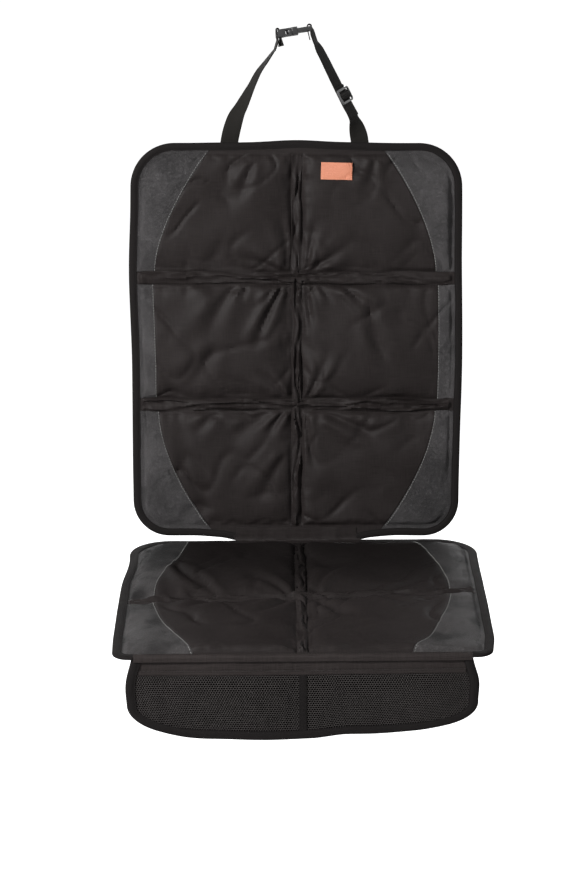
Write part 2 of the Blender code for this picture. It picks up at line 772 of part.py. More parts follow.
def ribbon(name, path, ways, finish):
    """Webbing swept along a path, with the direction of its width given at each point."""
    points = []
    count = len(path)
    for k, point in enumerate(path):
        along = (path[min(k + 1, count - 1)] - path[max(k - 1, 0)]).normalized()
        way = (ways[k] - along * ways[k].dot(along)).normalized() * WEBBING_WIDTH / 2
        out = along.cross(way).normalized() * WEBBING / 2
        points += [point - way - out, point + way - out, point + way + out, point - way + out]
    faces = [(0, 1, 2, 3), tuple(len(points) - k for k in (1, 2, 3, 4))]
    for k in range(count - 1):
        for j in range(4):
            nxt = (j + 1) % 4
            faces.append((4 * k + j, 4 * k + nxt, 4 * k + 4 + nxt, 4 * k + 4 + j))
    return add_node(name, points, faces, finish)


def buckle_frame():
    """Place and axes of the buckle: its length, its width and its thickness."""
    centre = BACK_PLANE.place(BUCKLE_X, BACK_HEIGHT + LOOP_HEIGHT, EDGE_TOP / 2)
    turn = Matrix.Rotation(BUCKLE_PITCH, 3, "X") @ Matrix.Rotation(BUCKLE_TILT, 3, "Y")
    return centre, turn


def buckle_point(along, across, up):
    centre, turn = buckle_frame()
    return centre + turn @ Vector((along, across, up))


def box(points_of, along, across, up):
    """Eight corners and six faces of a block between pairs of limits."""
    corners = [points_of(a, c, h) for a in along for c in across for h in up]
    faces = [(0, 1, 3, 2), (4, 6, 7, 5), (0, 4, 5, 1), (2, 3, 7, 6), (0, 2, 6, 4), (1, 5, 7, 3)]
    return corners, faces


def cutter(name, along, across, up):
    corners, faces = box(buckle_point, along, across, up)
    made = add_node(name, corners, faces, bpy.data.materials["black_plastic"])
    made.hide_render = True
    made.display_type = "WIRE"
    return made


def cut(target, tool):
    joined = target.modifiers.new("cut", "BOOLEAN")
    joined.operation = "DIFFERENCE"
    joined.solver = "EXACT"
    joined.object = tool


def extrude_outline(name, outline, low, high, points_of, finish):
    """A plate with the given outline of (along, across) points, between two heights."""
    count = len(outline)
    points = [points_of(a, c, low) for a, c in outline] + [points_of(a, c, high) for a, c in outline]
    faces = [tuple(range(count - 1, -1, -1)), tuple(range(count, 2 * count))]
    for k in range(count):
        nxt = (k + 1) % count
        faces.append((k, nxt, count + nxt, count + k))
    return add_node(name, points, faces, finish)


def buckle_socket(finish):
    """The female half: a flat shell with side windows, a mouth and a strap bar."""
    half = BUCKLE_WIDTH / 2
    thick = BUCKLE_THICK / 2
    end = -SOCKET_LENGTH
    waist = half - SOCKET_WAIST
    rim = half - SOCKET_RIM_STEP
    collar = -SOCKET_COLLAR
    heel = end + BAR_LENGTH - SOCKET_RIM_STEP * 2
    upper = [
        (0.0, half), (collar, half), (collar - SOCKET_WAIST, waist),
        (heel + SOCKET_WAIST, waist), (heel, rim), (end + SOCKET_RIM_STEP, rim), (end, half - BUCKLE_NIP),
    ]
    outline = upper + [(along, -across) for along, across in reversed(upper)]
    shell = extrude_outline("buckle_socket", outline, -thick, thick, buckle_point, finish)
    inner = socket_inner_half()
    depth = SOCKET_LENGTH - BAR_LENGTH
    hollow = (-thick + SOCKET_WALL, thick - SOCKET_WALL)
    cut(shell, cutter("socket_hollow", (-depth, CUT_PAST), (-inner, inner), hollow))
    window = (-depth + SOCKET_WALL, collar - CUT_PAST)
    window_high = thick - SOCKET_WALL * 1.6
    past = half + CUT_PAST
    cut(shell, cutter("socket_windows", window, (-past, past), (-window_high, window_high)))
    strap = (end + SOCKET_BAR, end + BAR_LENGTH - SOCKET_WALL)
    cut(shell, cutter("socket_strap_slot", strap, *strap_slot()))
    return shell


def strap_slot():
    """Limits across and through a buckle half of the slot that its webbing passes."""
    slot_half = WEBBING_WIDTH / 2 + WEBBING_PLAY
    past = BUCKLE_THICK / 2 + CUT_PAST
    return (-slot_half, slot_half), (-past, past)


def socket_inner_half():
    return BUCKLE_WIDTH / 2 - SOCKET_WALL - SOCKET_SIDE


def plug_half_thick():
    return BUCKLE_THICK / 2 - SOCKET_WALL - FIT_GAP * 2


def buckle_plug(finish):
    """The male half: a strap frame with a guide tongue and two spring arms."""
    half = BUCKLE_WIDTH / 2
    root = FIT_GAP
    end = PLUG_LENGTH
    arm_out = socket_inner_half() - FIT_GAP * 2
    arm_in = arm_out - ARM_THICK
    tip = -PRONG_LENGTH
    tongue_tip = tip + ARM_BARB / 2
    upper = [
        (tongue_tip, TONGUE_HALF - PRONG_TAPER), (root - PRONG_TAPER, TONGUE_HALF),
        (root - PRONG_TAPER, arm_in - PRONG_TAPER), (root - 2 * PRONG_TAPER, arm_in),
        (tip + ARM_BARB, arm_in - PRONG_TAPER), (tip, arm_in), (tip + ARM_BARB, arm_out), (root, arm_out),
        (root, half), (end - BUCKLE_NIP, half), (end, half - BUCKLE_NIP),
    ]
    outline = upper + [(along, -across) for along, across in reversed(upper)]
    thick = plug_half_thick()
    frame = extrude_outline("buckle_plug", outline, -thick, thick, buckle_point, finish)
    strap = (root + PLUG_SLOT_START, end - BAR_THICK)
    cut(frame, cutter("plug_strap_slot", strap, *strap_slot()))
    return frame


def bar_loop(bar_outer, bar_inner, high, tail):
    """Route of webbing up the outer side of a bar, over it and down its inner side."""
    clear = FIT_GAP + WEBBING / 2
    away = 1.0 if bar_outer > bar_inner else -1.0
    outer = bar_outer + away * clear
    inner = bar_inner - away * clear
    middle = (outer + inner) / 2
    radius = abs(outer - inner) / 2
    route = [buckle_point(outer, 0.0, h) for h in (-high - LOOP_RUN_IN, 0.0)]
    for k in range(LOOP_STEPS + 1):
        angle = math.pi * k / LOOP_STEPS
        over = high + radius * math.sin(angle)
        route.append(buckle_point(middle + away * radius * math.cos(angle), 0.0, over))
    route.append(buckle_point(inner, 0.0, 0.0))
    route.append(buckle_point(inner, 0.0, -high))
    route.append(buckle_point(inner + away * 0.3 * radius, 0.0, -high - tail))
    return route


def strap_rise(side, start_x, top_point):
    """Chosen points from behind the top of the back panel up to just under the buckle."""
    behind = -WEBBING / 2 - FIT_GAP
    points = [
        BACK_PLANE.place(start_x, BACK_HEIGHT - STRAP_TAIL, behind),
        BACK_PLANE.place(start_x, BACK_HEIGHT, behind),
    ]
    for rise in STRAP_RISES:
        sway = STRAP_FIRST_SWAY + STRAP_SLOPE * (rise - STRAP_RISES[0])
        points.append(BACK_PLANE.place(start_x - side * sway, BACK_HEIGHT + rise, behind / 2))
    points.append(top_point + Vector((side * STRAP_TOP_LEAN, 0.0, -STRAP_TOP_DROP)))
    return points


def strap_turn(turns, share):
    """Angle of the webbing at a share of its rise, from a table of shares and degrees."""
    for (start, low), (end, high) in zip(turns, turns[1:]):
        if share <= end:
            return math.radians(low + (high - low) * max(share - start, 0.0) / (end - start))
    return math.radians(turns[-1][1])


def strap_ways(count, turns, deep):
    """Direction of the webbing's width: level behind the panel, then turning to lie along the bar."""
    ways = []
    for k in range(count):
        angle = strap_turn(turns, k / (count - 1))
        ways.append(Vector((math.cos(angle), 0.0, 0.0)) + deep * math.sin(angle))
    return ways


def strap_shape(side):
    """Route and width directions of one strap, from the back panel to its buckle half."""
    _, turn = buckle_frame()
    deep = turn @ Vector((0.0, 1.0, 0.0)) * side
    if side < 0:
        loop = bar_loop(-SOCKET_LENGTH, -SOCKET_LENGTH + SOCKET_BAR, BUCKLE_THICK / 2, LOOP_TAIL)
        rise = strap_rise(side, STRAP_LEFT_X, loop[0])
        turns = STRAP_LEFT_TURNS
    else:
        loop = bar_loop(PLUG_LENGTH, PLUG_LENGTH - BAR_THICK, plug_half_thick(), LOOP_TAIL)
        rise = strap_rise(side, STRAP_RIGHT_X, loop[0])
        turns = STRAP_RIGHT_TURNS
    route = smooth_path(rise, STRAP_STEPS)
    ways = strap_ways(len(route), turns, deep)
    return route, ways, loop, [deep] * len(loop)


def strap_left(finish):
    route, ways, loop, loop_ways = strap_shape(-1.0)
    return ribbon("strap_left", route + loop, ways + loop_ways, finish)


def local_axes(route, ways, k):
    along = (route[k + 1] - route[k - 1]).normalized()
    way = (ways[k] - along * ways[k].dot(along)).normalized()
    out = along.cross(way).normalized()
    return along, way, -out if out.y > 0 else out


def slide_seat():
    """Place and axes of the strap slide on the right strap, at the middle of the lower ply."""
    route, ways, _, _ = strap_shape(1.0)
    k = 3 * STRAP_STEPS + STRAP_STEPS // 2
    along, way, out = local_axes(route, ways, k)
    return route[k], along, way, out


def strap_right(finish):
    route, ways, loop, loop_ways = strap_shape(1.0)
    return ribbon("strap_right", route + loop, ways + loop_ways, finish)


def slide_tail(finish):
    """The loose end of the webbing, threaded over the slide's middle bar."""
    centre, along, way, out = slide_seat()
    rest = WEBBING + FIT_GAP
    over = frame_base() + SLIDE_THICK + FIT_GAP + WEBBING / 2
    half = SLIDE_LENGTH / 2
    outside = half + TAIL_PAST_SLIDE
    inside = half - TAIL_PAST_SLIDE
    shoulder = SLIDE_BAR / 2 + WEBBING / 2
    profile = [
        (-outside, rest), (-inside, rest), (-shoulder, over - TAIL_SAG), (0.0, over),
        (shoulder, over - TAIL_SAG), (inside, rest), (outside, rest),
    ]
    route = [centre + along * a + out * h for a, h in profile]
    ways = [way] * len(route)
    strap, strap_sides, _, _ = strap_shape(1.0)
    below = []
    for k in range(2, len(strap) - 1):
        distance = (strap[k] - centre).dot(along)
        if -half - SLIDE_TAIL < distance < -outside - TAIL_PAST_SLIDE / 2:
            _, side, lift = local_axes(strap, strap_sides, k)
            below.append((strap[k] + lift * rest, side))
    route = [point for point, _ in below] + route
    ways = [side for _, side in below] + ways
    return ribbon("strap_loose_end", route, ways, finish)


def frame_base():
    """Height of the slide's underside over the middle of the lower ply."""
    return WEBBING / 2 + FIT_GAP + WEBBING + FIT_GAP


def slide(finish):
    """A three-bar slide: a rounded frame with a middle bar between two slots."""
    centre, along, way, out = slide_seat()

    def place(a, c, h):
        return centre + along * a + way * c + out * (frame_base() + h)

    half_long = SLIDE_LENGTH / 2
    half_wide = SLIDE_WIDTH / 2
    short_long = half_long - SLIDE_NIP
    short_wide = half_wide - SLIDE_NIP
    upper = [(-half_long, short_wide), (-short_long, half_wide)]
    upper += [(short_long, half_wide), (half_long, short_wide)]
    outline = upper + [(a, -c) for a, c in reversed(upper)]
    frame = extrude_outline("strap_slide", outline, 0.0, SLIDE_THICK, place, finish)
    slot_half = WEBBING_WIDTH / 2 + WEBBING_PLAY
    for k, side in enumerate((-1.0, 1.0)):
        limits = sorted((side * SLIDE_BAR / 2, side * (half_long - SLIDE_BAR)))
        corners, faces = box(place, limits, (-slot_half, slot_half), (-CUT_PAST, SLIDE_THICK + CUT_PAST))
        tool = add_node(f"slide_slot_{k}", corners, faces, finish)
        tool.hide_render = True
        tool.display_type = "WIRE"
        cut(frame, tool)
    return frame


def label(quilt, finish):
    """A small sewn label on the upper right of the back panel."""
    steps = LABEL_STEPS
    points = []
    middle_v = BACK_HEIGHT - LABEL_DROP
    for thick in (FIT_GAP, FIT_GAP + LABEL_THICK):
        for i in range(steps + 1):
            for j in range(steps + 1):
                a = LABEL_WIDTH * (i / steps - 0.5)
                b = LABEL_HEIGHT * (j / steps - 0.5)
                u = LABEL_X + a * math.cos(LABEL_TURN) - b * math.sin(LABEL_TURN)
                v = middle_v + a * math.sin(LABEL_TURN) + b * math.cos(LABEL_TURN)
                points.append(BACK_PLANE.place(u, v, quilt.top(u, v) + LABEL_LIFT + thick))
    size = steps + 1
    faces = []
    for layer in (0, 1):
        for i in range(steps):
            for j in range(steps):
                a = layer * size * size + i * size + j
                faces.append((a, a + 1, a + size + 1, a + size))
    ring = [(i, 0) for i in range(steps)] + [(steps, j) for j in range(steps)]
    ring += [(steps - i, steps) for i in range(steps)] + [(0, steps - j) for j in range(steps)]
    for k in range(len(ring)):
        i0, j0 = ring[k]
        i1, j1 = ring[(k + 1) % len(ring)]
        a, b = i0 * size + j0, i1 * size + j1
        faces.append((a, b, b + size * size, a + size * size))
    return add_node("label", points, faces, finish)


def back_seam(v):
    """Half width of the cloth field at one height of the back panel."""
    drop = BACK_HEIGHT - v
    upper = UPPER_CHANNEL_DROP - CHANNEL_WIDTH / 2
    lower = LOWER_CHANNEL_DROP + CHANNEL_WIDTH / 2
    reach = BACK_SEAM_AT_CHANNEL - BACK_SEAM_AT_EDGE
    if drop < upper:
        return BACK_SEAM_AT_CHANNEL - reach * (1.0 - drop / upper) ** SEAM_CURVE
    if drop > lower:
        return BACK_SEAM_AT_CHANNEL - reach * ((drop - lower) / (BACK_HEIGHT - lower)) ** SEAM_CURVE
    return BACK_SEAM_MIDDLE


def seat_seam(v):
    """Half width of the cloth field at one place along the seat panel."""
    from_rear = SEAT_DEPTH / 2 - v
    rear = SEAT_CHANNEL_FROM_REAR - CHANNEL_WIDTH / 2
    front = SEAT_CHANNEL_FROM_REAR + CHANNEL_WIDTH / 2
    if from_rear < rear:
        reach = SEAT_SEAM_AT_CHANNEL - SEAT_SEAM_AT_REAR
        return SEAT_SEAM_AT_CHANNEL - reach * (1.0 - from_rear / rear) ** SEAM_CURVE
    if from_rear > front:
        reach = SEAT_SEAM_AT_CHANNEL - SEAT_SEAM_AT_FRONT
        return SEAT_SEAM_AT_CHANNEL - reach * ((from_rear - front) / (SEAT_DEPTH - front)) ** SEAM_CURVE
    return SEAT_SEAM_AT_CHANNEL


def main():
    clear_scene()
    oxford = material("oxford_cloth", BLACK_OXFORD, 0.75)
    grain = material("grained_patch", GREY_GRAIN, 0.55)
    tape_black = material("binding_tape", BLACK_TAPE, 0.80)
    backing_grey = material("backing_cloth", GREY_BACKING, 0.90)
    foam = material("foam", WHITE_FOAM, 0.85)
    net = material("pocket_net", DARK_MESH, 0.70)
    webbing = material("webbing", BLACK_WEBBING, 0.70)
    plastic = material("black_plastic", BLACK_PLASTIC, 0.30)
    orange = material("label_leather", ORANGE_LABEL, 0.60)

    upper = BACK_HEIGHT - UPPER_CHANNEL_DROP
    lower = BACK_HEIGHT - LOWER_CHANNEL_DROP
    back_creases = [
        (-0.016, upper - 0.010, -0.070, upper - 0.125),
        (-0.030, upper - 0.010, -0.095, upper - 0.060),
        (0.030, upper - 0.010, 0.085, upper - 0.060),
        (0.060, upper - 0.020, 0.130, upper - 0.150),
        (-0.016, lower - 0.010, -0.060, lower - 0.060),
        (0.030, lower - 0.010, 0.110, lower - 0.090),
    ]
    back = Quilt(BACK_PLANE, BACK_OUTLINE, (lower, upper), back_seam, FLAT_EDGE, back_creases)
    back.face("back_face", oxford)
    for cell, row in (("cell2", "top"), ("cell1", "middle"), ("cell0", "bottom")):
        for side, hand in ((-1.0, "left"), (1.0, "right")):
            back.patch(f"back_patch_{row}_{hand}", cell, side, grain)
            back.pad(f"back_foam_{row}_{hand}", cell, side, foam)
    backing("back_backing", BACK_PLANE, BACK_OUTLINE, FLAT_EDGE, backing_grey)
    back_binding(tape_black)
    label(back, orange)

    middle = SEAT_DEPTH / 2 - SEAT_CHANNEL_FROM_REAR
    hem_edge = FRONT_HEM_LAP + 0.001
    seat_creases = [
        (-0.020, middle + 0.010, -0.090, middle + 0.090),
        (0.020, middle - 0.012, 0.080, middle - 0.100),
    ]
    seat = Quilt(SEAT_PLANE, SEAT_OUTLINE, (middle,), seat_seam, hem_edge, seat_creases, SEAT_CHANNEL_SKEW)
    seat.face("seat_face", oxford)
    for cell, row in (("cell1", "rear"), ("cell0", "front")):
        for side, hand in ((-1.0, "left"), (1.0, "right")):
            seat.patch(f"seat_patch_{row}_{hand}", cell, side, grain)
            seat.pad(f"seat_foam_{row}_{hand}", cell, side, foam)
    backing("seat_backing", SEAT_PLANE, SEAT_OUTLINE, hem_edge, backing_grey)
    seat_binding("seat_binding_left", -1.0, tape_black)
    seat_binding("seat_binding_right", 1.0, tape_black)
    front_hem(oxford)
    neck(oxford)

    flap_panel(oxford)
    Pocket(-1.0).net("pocket_net_left", net)
    Pocket(1.0).net("pocket_net_right", net)
    pocket_tapes(tape_black)
    flap_binding(tape_black)

    strap_left(webbing)
    strap_right(webbing)
    slide_tail(webbing)
    slide(plastic)
    buckle_socket(plastic)
    buckle_plug(plastic)


main()
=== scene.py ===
"""Car seat protector mat: cloth, foam, tape, net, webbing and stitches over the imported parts.

Metres, in the row frame. Each panel has its own flat coordinates: u across, v along and h out.
"""

import math

import bmesh
import bpy
import numpy as np
from mathutils import Matrix, Vector


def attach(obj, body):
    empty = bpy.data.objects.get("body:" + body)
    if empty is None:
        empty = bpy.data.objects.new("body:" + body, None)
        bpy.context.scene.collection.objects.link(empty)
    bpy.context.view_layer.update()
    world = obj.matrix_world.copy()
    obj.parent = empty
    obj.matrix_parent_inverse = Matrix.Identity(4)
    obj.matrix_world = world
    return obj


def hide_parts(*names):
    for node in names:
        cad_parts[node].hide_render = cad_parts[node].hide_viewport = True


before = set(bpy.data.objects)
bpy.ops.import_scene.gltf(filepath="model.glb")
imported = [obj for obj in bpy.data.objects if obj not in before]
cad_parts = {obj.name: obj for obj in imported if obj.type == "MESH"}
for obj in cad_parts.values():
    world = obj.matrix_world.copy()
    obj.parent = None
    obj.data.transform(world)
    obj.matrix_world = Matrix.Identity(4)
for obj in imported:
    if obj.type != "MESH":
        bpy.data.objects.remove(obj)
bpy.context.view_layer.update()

# Layers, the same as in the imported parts
FIT_GAP = 0.0003
CLOTH = 0.0008
TAPE = 0.0008
TAPE_LAP = 0.011
EDGE_LIFT = 0.0014
CLOTH_SETBACK = 0.001
FLAT_EDGE = 0.013
CHANNEL_WIDTH = 0.018
SPINE_WIDTH = 0.015
PAD_BOTTOM = CLOTH + FIT_GAP
CHANNEL_TOP = PAD_BOTTOM + CLOTH
EDGE_TOP = EDGE_LIFT + CLOTH + FIT_GAP + CLOTH
TAPE_UNDER = EDGE_LIFT - FIT_GAP
TAPE_OVER = EDGE_TOP + FIT_GAP

# Panels
BACK_WIDTH, BACK_HEIGHT = 0.464, 0.560
BACK_LEAN = math.radians(8.0)
BACK_TURN = math.radians(0.42)
BACK_FOOT_HEIGHT, BACK_FOOT_SETBACK = 0.0125, 0.003
UPPER_DROP, LOWER_DROP = 0.190, 0.371
UPPER_CHANNEL = BACK_HEIGHT - UPPER_DROP
LOWER_CHANNEL = BACK_HEIGHT - LOWER_DROP
SEAT_WIDTH, SEAT_DEPTH = 0.490, 0.450
SEAT_DROP = 0.228
SEAT_CHANNEL = SEAT_DEPTH / 2 - SEAT_DROP
SEAT_SKEW = 0.070
FRONT_HEM_LAP = 0.009

# Corner radii: lower or front, then upper or rear
BACK_RADII, SEAT_RADII = (0.050, 0.060), (0.020, 0.060)

# Half widths of the quilted field
SEAM_CURVE = 1.7
BACK_SEAM_EDGE, BACK_SEAM_CHANNEL, BACK_SEAM_BETWEEN = 0.116, 0.196, 0.199
SEAT_SEAM_REAR, SEAT_SEAM_FRONT, SEAT_SEAM_CHANNEL = 0.150, 0.135, 0.198

# Neck, flap and pockets
NECK_WIDTH, NECK_THICK, NECK_LAP = 0.170, 0.0011, 0.011
FLAP_WIDTH, FLAP_TOP_WIDTH, FLAP_HEIGHT = 0.450, 0.436, 0.110
FLAP_SETBACK, FLAP_PANEL = 0.006, 0.0012
FLAP_CORNER_RISE, FLAP_CORNER_RUN = 0.040, 0.080
POCKET_DROP, POCKET_MESH, POCKET_SEAM, HEM_WIDTH = 0.017, 0.0006, 0.006, 0.006
POCKET_BULGE, POCKET_BULGE_REACH, POCKET_FLAT_WIDTH = 0.0032, 0.024, 0.2145
NET_PITCH, NET_OPENING, NET_THREAD = 0.0032, 0.80, 0.0005

# Straps and buckle
WEBBING_WIDTH, WEBBING = 0.025, 0.0014
BUCKLE_TILT, BUCKLE_PITCH = math.radians(-9.0), math.radians(-12.0)
BUCKLE_X, LOOP_HEIGHT = 0.001, 0.157
BUCKLE_THICK, SOCKET_LENGTH, SOCKET_BAR, SOCKET_WALL = 0.011, 0.029, 0.0024, 0.0018
PLUG_LENGTH, BAR_THICK = 0.019, 0.004
SLIDE_LENGTH, SLIDE_THICK, SLIDE_BAR = 0.022, 0.0026, 0.0032
STRAP_RISES = (0.033, 0.055, 0.077, 0.099, 0.121)
STRAP_STEPS = 12
LEFT_TURNS = ((0.18, 0.0), (0.37, 38.0), (0.50, 53.0), (0.60, 64.0), (0.83, 73.0), (1.0, 83.0))
RIGHT_TURNS = ((0.18, 0.0), (0.29, 55.0), (0.62, 55.0), (0.92, 60.0), (1.0, 74.0))
LEFT_TAIL_TURN = 72.0
RIGHT_TAIL_TURN = 88.0

LEFT_FOOT, RIGHT_FOOT, STRAP_BEHIND = -0.095, 0.089, 0.032
TAIL_LENGTH = 0.012

# Label
LABEL_WIDTH, LABEL_HEIGHT, LABEL_THICK = 0.044, 0.024, 0.0012
LABEL_X, LABEL_DROP, LABEL_TURN = 0.056, 0.038, math.radians(-1.5)

# Stitches and flat coordinates
STITCH_PITCH, STITCH_LENGTH, STITCH_RADIUS = 0.0036, 0.0027, 0.00032
SEAM_PITCH, SEAM_LENGTH, SEAM_RADIUS = 0.0040, 0.0035, 0.00048
THREAD_LIFT = 0.0001
UV_SCALE = 10.0
TINY = 1e-12


class Plane:
    """A flat working plane that places whole arrays of u, v and h."""

    def __init__(self, origin, across, along, sway=None):
        self.sway = sway
        self.origin = np.array(origin, float)
        self.across = np.array(across, float)
        self.along = np.array(along, float)
        self.out = np.cross(self.across, self.along)

    def place(self, u, v, h):
        if self.sway:
            u, v = self.sway(np.asarray(u, float), np.asarray(v, float))
        u, v, h = np.broadcast_arrays(u, v, h)
        return self.origin + u[..., None] * self.across + v[..., None] * self.along + h[..., None] * self.out


def back_plane():
    up = np.array((0.0, math.sin(BACK_LEAN), math.cos(BACK_LEAN)))
    right = np.array((1.0, 0.0, 0.0))
    foot = np.array((0.0, SEAT_DEPTH / 2 + BACK_FOOT_SETBACK, BACK_FOOT_HEIGHT))
    along = up * math.cos(BACK_TURN) + right * math.sin(BACK_TURN)
    across = right * math.cos(BACK_TURN) - up * math.sin(BACK_TURN)
    return Plane(foot + up * BACK_HEIGHT - along * BACK_HEIGHT, across, along, back_sway)


# How far the soft outlines stray from the plain pattern pieces
def back_sway(u, v):
    left, right = ease(-u / 0.20), ease(u / 0.20)
    return u - 0.0045 * left * bell(v - 0.380, 0.090) + 0.0028 * right * bell(v - 0.270, 0.110), v


def seat_sway(u, v):
    left, right = ease(-u / 0.12), ease((u - 0.060) / 0.120)
    front = ease((v + SEAT_DEPTH / 2 + 0.004) / 0.075)
    rear = bell(v - 0.145, 0.075)
    return u + right * front * 0.0056 + left * (0.0068 * rear - 0.0018 * front * (1.0 - rear)), v


def flap_sway(u, v):
    left, right = ease(-u / 0.15), ease(u / 0.15)
    wide_left, wide_right = bell(v + 0.036, 0.034), bell(v + 0.035, 0.025)
    sag = -0.0032 * bell(u + 0.045, 0.060) + 0.0050 * ease((-u - 0.120) / 0.070)
    sag = sag + 0.0048 * ease((u - 0.010) / 0.050) + 0.0068 * ease((u - 0.080) / 0.110)
    depth = np.clip(-v / FLAP_HEIGHT, 0.0, 1.0) ** 1.5
    return u - 0.0072 * left * wide_left + 0.0055 * right * wide_right, v + sag * depth


SEAT = Plane((0, 0, 0), (1, 0, 0), (0, 1, 0), seat_sway)
BACK = back_plane()
FLAP = Plane((0, -SEAT_DEPTH / 2 + FLAP_SETBACK, 0), (1, 0, 0), (0, 0, 1), flap_sway)


# Smooth noise and curves
def noise(x, y, seed):
    """Smooth value noise from -1 to 1 at arrays x and y."""
    table = np.random.RandomState(seed).uniform(-1.0, 1.0, (64, 64))
    xi, yi = np.floor(x).astype(int), np.floor(y).astype(int)
    fx, fy = x - xi, y - yi
    fx, fy = fx * fx * fx * (fx * (fx * 6 - 15) + 10), fy * fy * fy * (fy * (fy * 6 - 15) + 10)
    a, b = table[xi % 64, yi % 64], table[(xi + 1) % 64, yi % 64]
    c, d = table[xi % 64, (yi + 1) % 64], table[(xi + 1) % 64, (yi + 1) % 64]
    return (a * (1 - fx) + b * fx) * (1 - fy) + (c * (1 - fx) + d * fx) * fy


def ease(share):
    share = np.clip(share, 0.0, 1.0)
    return share * share * (3.0 - 2.0 * share)


def bell(distance, width):
    return np.exp(-((distance / width) ** 2))


def graded(start, stop, count, bias):
    """Places from start to stop, closer together near both ends."""
    t = np.linspace(0.0, 1.0, count + 1)
    return start + (stop - start) * (t - bias * np.sin(2 * math.pi * t) / (2 * math.pi))


# Meshes
def link(name, data):
    made = bpy.data.objects.new(name, data)
    bpy.context.scene.collection.objects.link(made)
    return made


def set_flat(mesh, uv):
    """Flat coordinates for the corners of a mesh, from one pair for each point."""
    layer = mesh.uv_layers.new(name="flat")
    corner = np.empty(len(mesh.loops), int)
    mesh.loops.foreach_get("vertex_index", corner)
    layer.data.foreach_set("uv", (uv[corner] * UV_SCALE).ravel())


def after_modifiers(made):
    graph = bpy.context.evaluated_depsgraph_get()
    return bpy.data.meshes.new_from_object(made.evaluated_get(graph), depsgraph=graph)


def build(name, points, faces, material, uv, angle=50.0, turn_out=False):
    """One mesh object with its own flat coordinates, riding on the mat."""
    mesh = bpy.data.meshes.new(name)
    mesh.from_pydata(points.reshape(-1, 3).tolist(), [], faces)
    set_flat(mesh, uv.reshape(-1, 2))
    if turn_out:
        shaped = bmesh.new()
        shaped.from_mesh(mesh)
        bmesh.ops.recalc_face_normals(shaped, faces=shaped.faces)
        shaped.to_mesh(mesh)
        shaped.free()
    mesh.materials.append(material)
    mesh.shade_smooth()
    mesh.set_sharp_from_angle(angle=math.radians(angle))
    made = link(name, mesh)
    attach(made, "root")
    return made


def normals_of(grid):
    """Unit normals of a grid of points, rows by columns."""
    down = np.gradient(grid, axis=0)
    side = np.gradient(grid, axis=1)
    out = np.cross(side, down)
    return out / np.maximum(np.linalg.norm(out, axis=2, keepdims=True), TINY)


def slab_faces(rows, cols, keep):
    """Corner indices of the kept tiles of a grid and of their border edges."""
    index = np.arange(rows * cols).reshape(rows, cols)
    quads = np.stack([index[:-1, :-1], index[:-1, 1:], index[1:, 1:], index[1:, :-1]], axis=-1)[keep]
    edges = np.concatenate([quads[:, [k, (k + 1) % 4]] for k in range(4)])
    key = edges[:, 0] * (rows * cols) + edges[:, 1]
    back = edges[:, 1] * (rows * cols) + edges[:, 0]
    return quads, edges[~np.isin(key, back)]


def slab(name, top, under, keep, material, uv):
    """A closed solid between two grids of points, over the kept tiles."""
    quads, border = slab_faces(*top.shape[:2], keep)
    used = np.unique(quads)
    count = len(used)
    place = np.full(top.shape[0] * top.shape[1], -1)
    place[used] = np.arange(count)
    points = np.concatenate([side.reshape(-1, 3)[used] for side in (top, under)])
    upper = place[quads]
    a, b = place[border[:, 0]], place[border[:, 1]]
    walls = np.stack([b, a, a + count, b + count], axis=-1)
    faces = np.concatenate([upper, upper[:, ::-1] + count, walls]).tolist()
    flat = uv.reshape(-1, 2)[used]
    return build(name, points, faces, material, np.concatenate([flat, flat]))


def cloth(name, grid, keep, thick, material, uv, trim=0.0):
    """A cloth of one thickness under a grid of outer points, trimmed at its cut edges."""
    out = normals_of(grid).reshape(-1, 3)
    top = grid.reshape(-1, 3).copy()
    if trim:
        _, border = slab_faces(*grid.shape[:2], keep)
        run = top[border[:, 1]] - top[border[:, 0]]
        inward = np.cross(out[border[:, 0]], run)
        inward /= np.maximum(np.linalg.norm(inward, axis=1, keepdims=True), TINY)
        shift = np.zeros_like(top)
        np.add.at(shift, border[:, 0], inward)
        np.add.at(shift, border[:, 1], inward)
        length = np.linalg.norm(shift, axis=1, keepdims=True)
        top += np.where(length > 0, shift / np.maximum(length, TINY), 0.0) * trim
    under = top - out * thick
    return slab(name, top.reshape(grid.shape), under.reshape(grid.shape), keep, material, uv)


def sweep(name, sections, material, uv):
    """Closed cross-sections, one after another, joined into one solid."""
    count, size = sections.shape[:2]
    index = np.arange(count * size).reshape(count, size)
    beside = np.roll(index, -1, axis=1)
    faces = np.stack([index[:-1], beside[:-1], beside[1:], index[1:]], axis=-1).reshape(-1, 4).tolist()
    faces += [index[0][::-1].tolist(), index[-1].tolist()]
    return build(name, sections, faces, material, uv, angle=60.0, turn_out=True)


# Shader groups and finishes
def shader_group(name, inputs, outputs):
    """A shader group with number inputs, or vector inputs where no value is given."""
    tree = bpy.data.node_groups.new(name, "ShaderNodeTree")
    for label, value in inputs.items():
        kind = "NodeSocketVector" if value is None else "NodeSocketFloat"
        socket = tree.interface.new_socket(label, in_out="INPUT", socket_type=kind)
        if value is not None:
            socket.default_value = value
    for label in outputs:
        tree.interface.new_socket(label, in_out="OUTPUT", socket_type="NodeSocketFloat")
    return tree, tree.nodes.new("NodeGroupInput"), tree.nodes.new("NodeGroupOutput")


def add(tree, kind, values=None, **settings):
    """A node with its settings and its input values or links."""
    node = tree.nodes.new(kind)
    for key, value in settings.items():
        setattr(node, key, value)
    for key, value in (values or {}).items():
        if isinstance(value, bpy.types.NodeSocket):
            tree.links.new(value, node.inputs[key])
        else:
            node.inputs[key].default_value = value
    return node


def calc(tree, operation, *values):
    return add(tree, "ShaderNodeMath", dict(enumerate(values)), operation=operation).outputs[0]


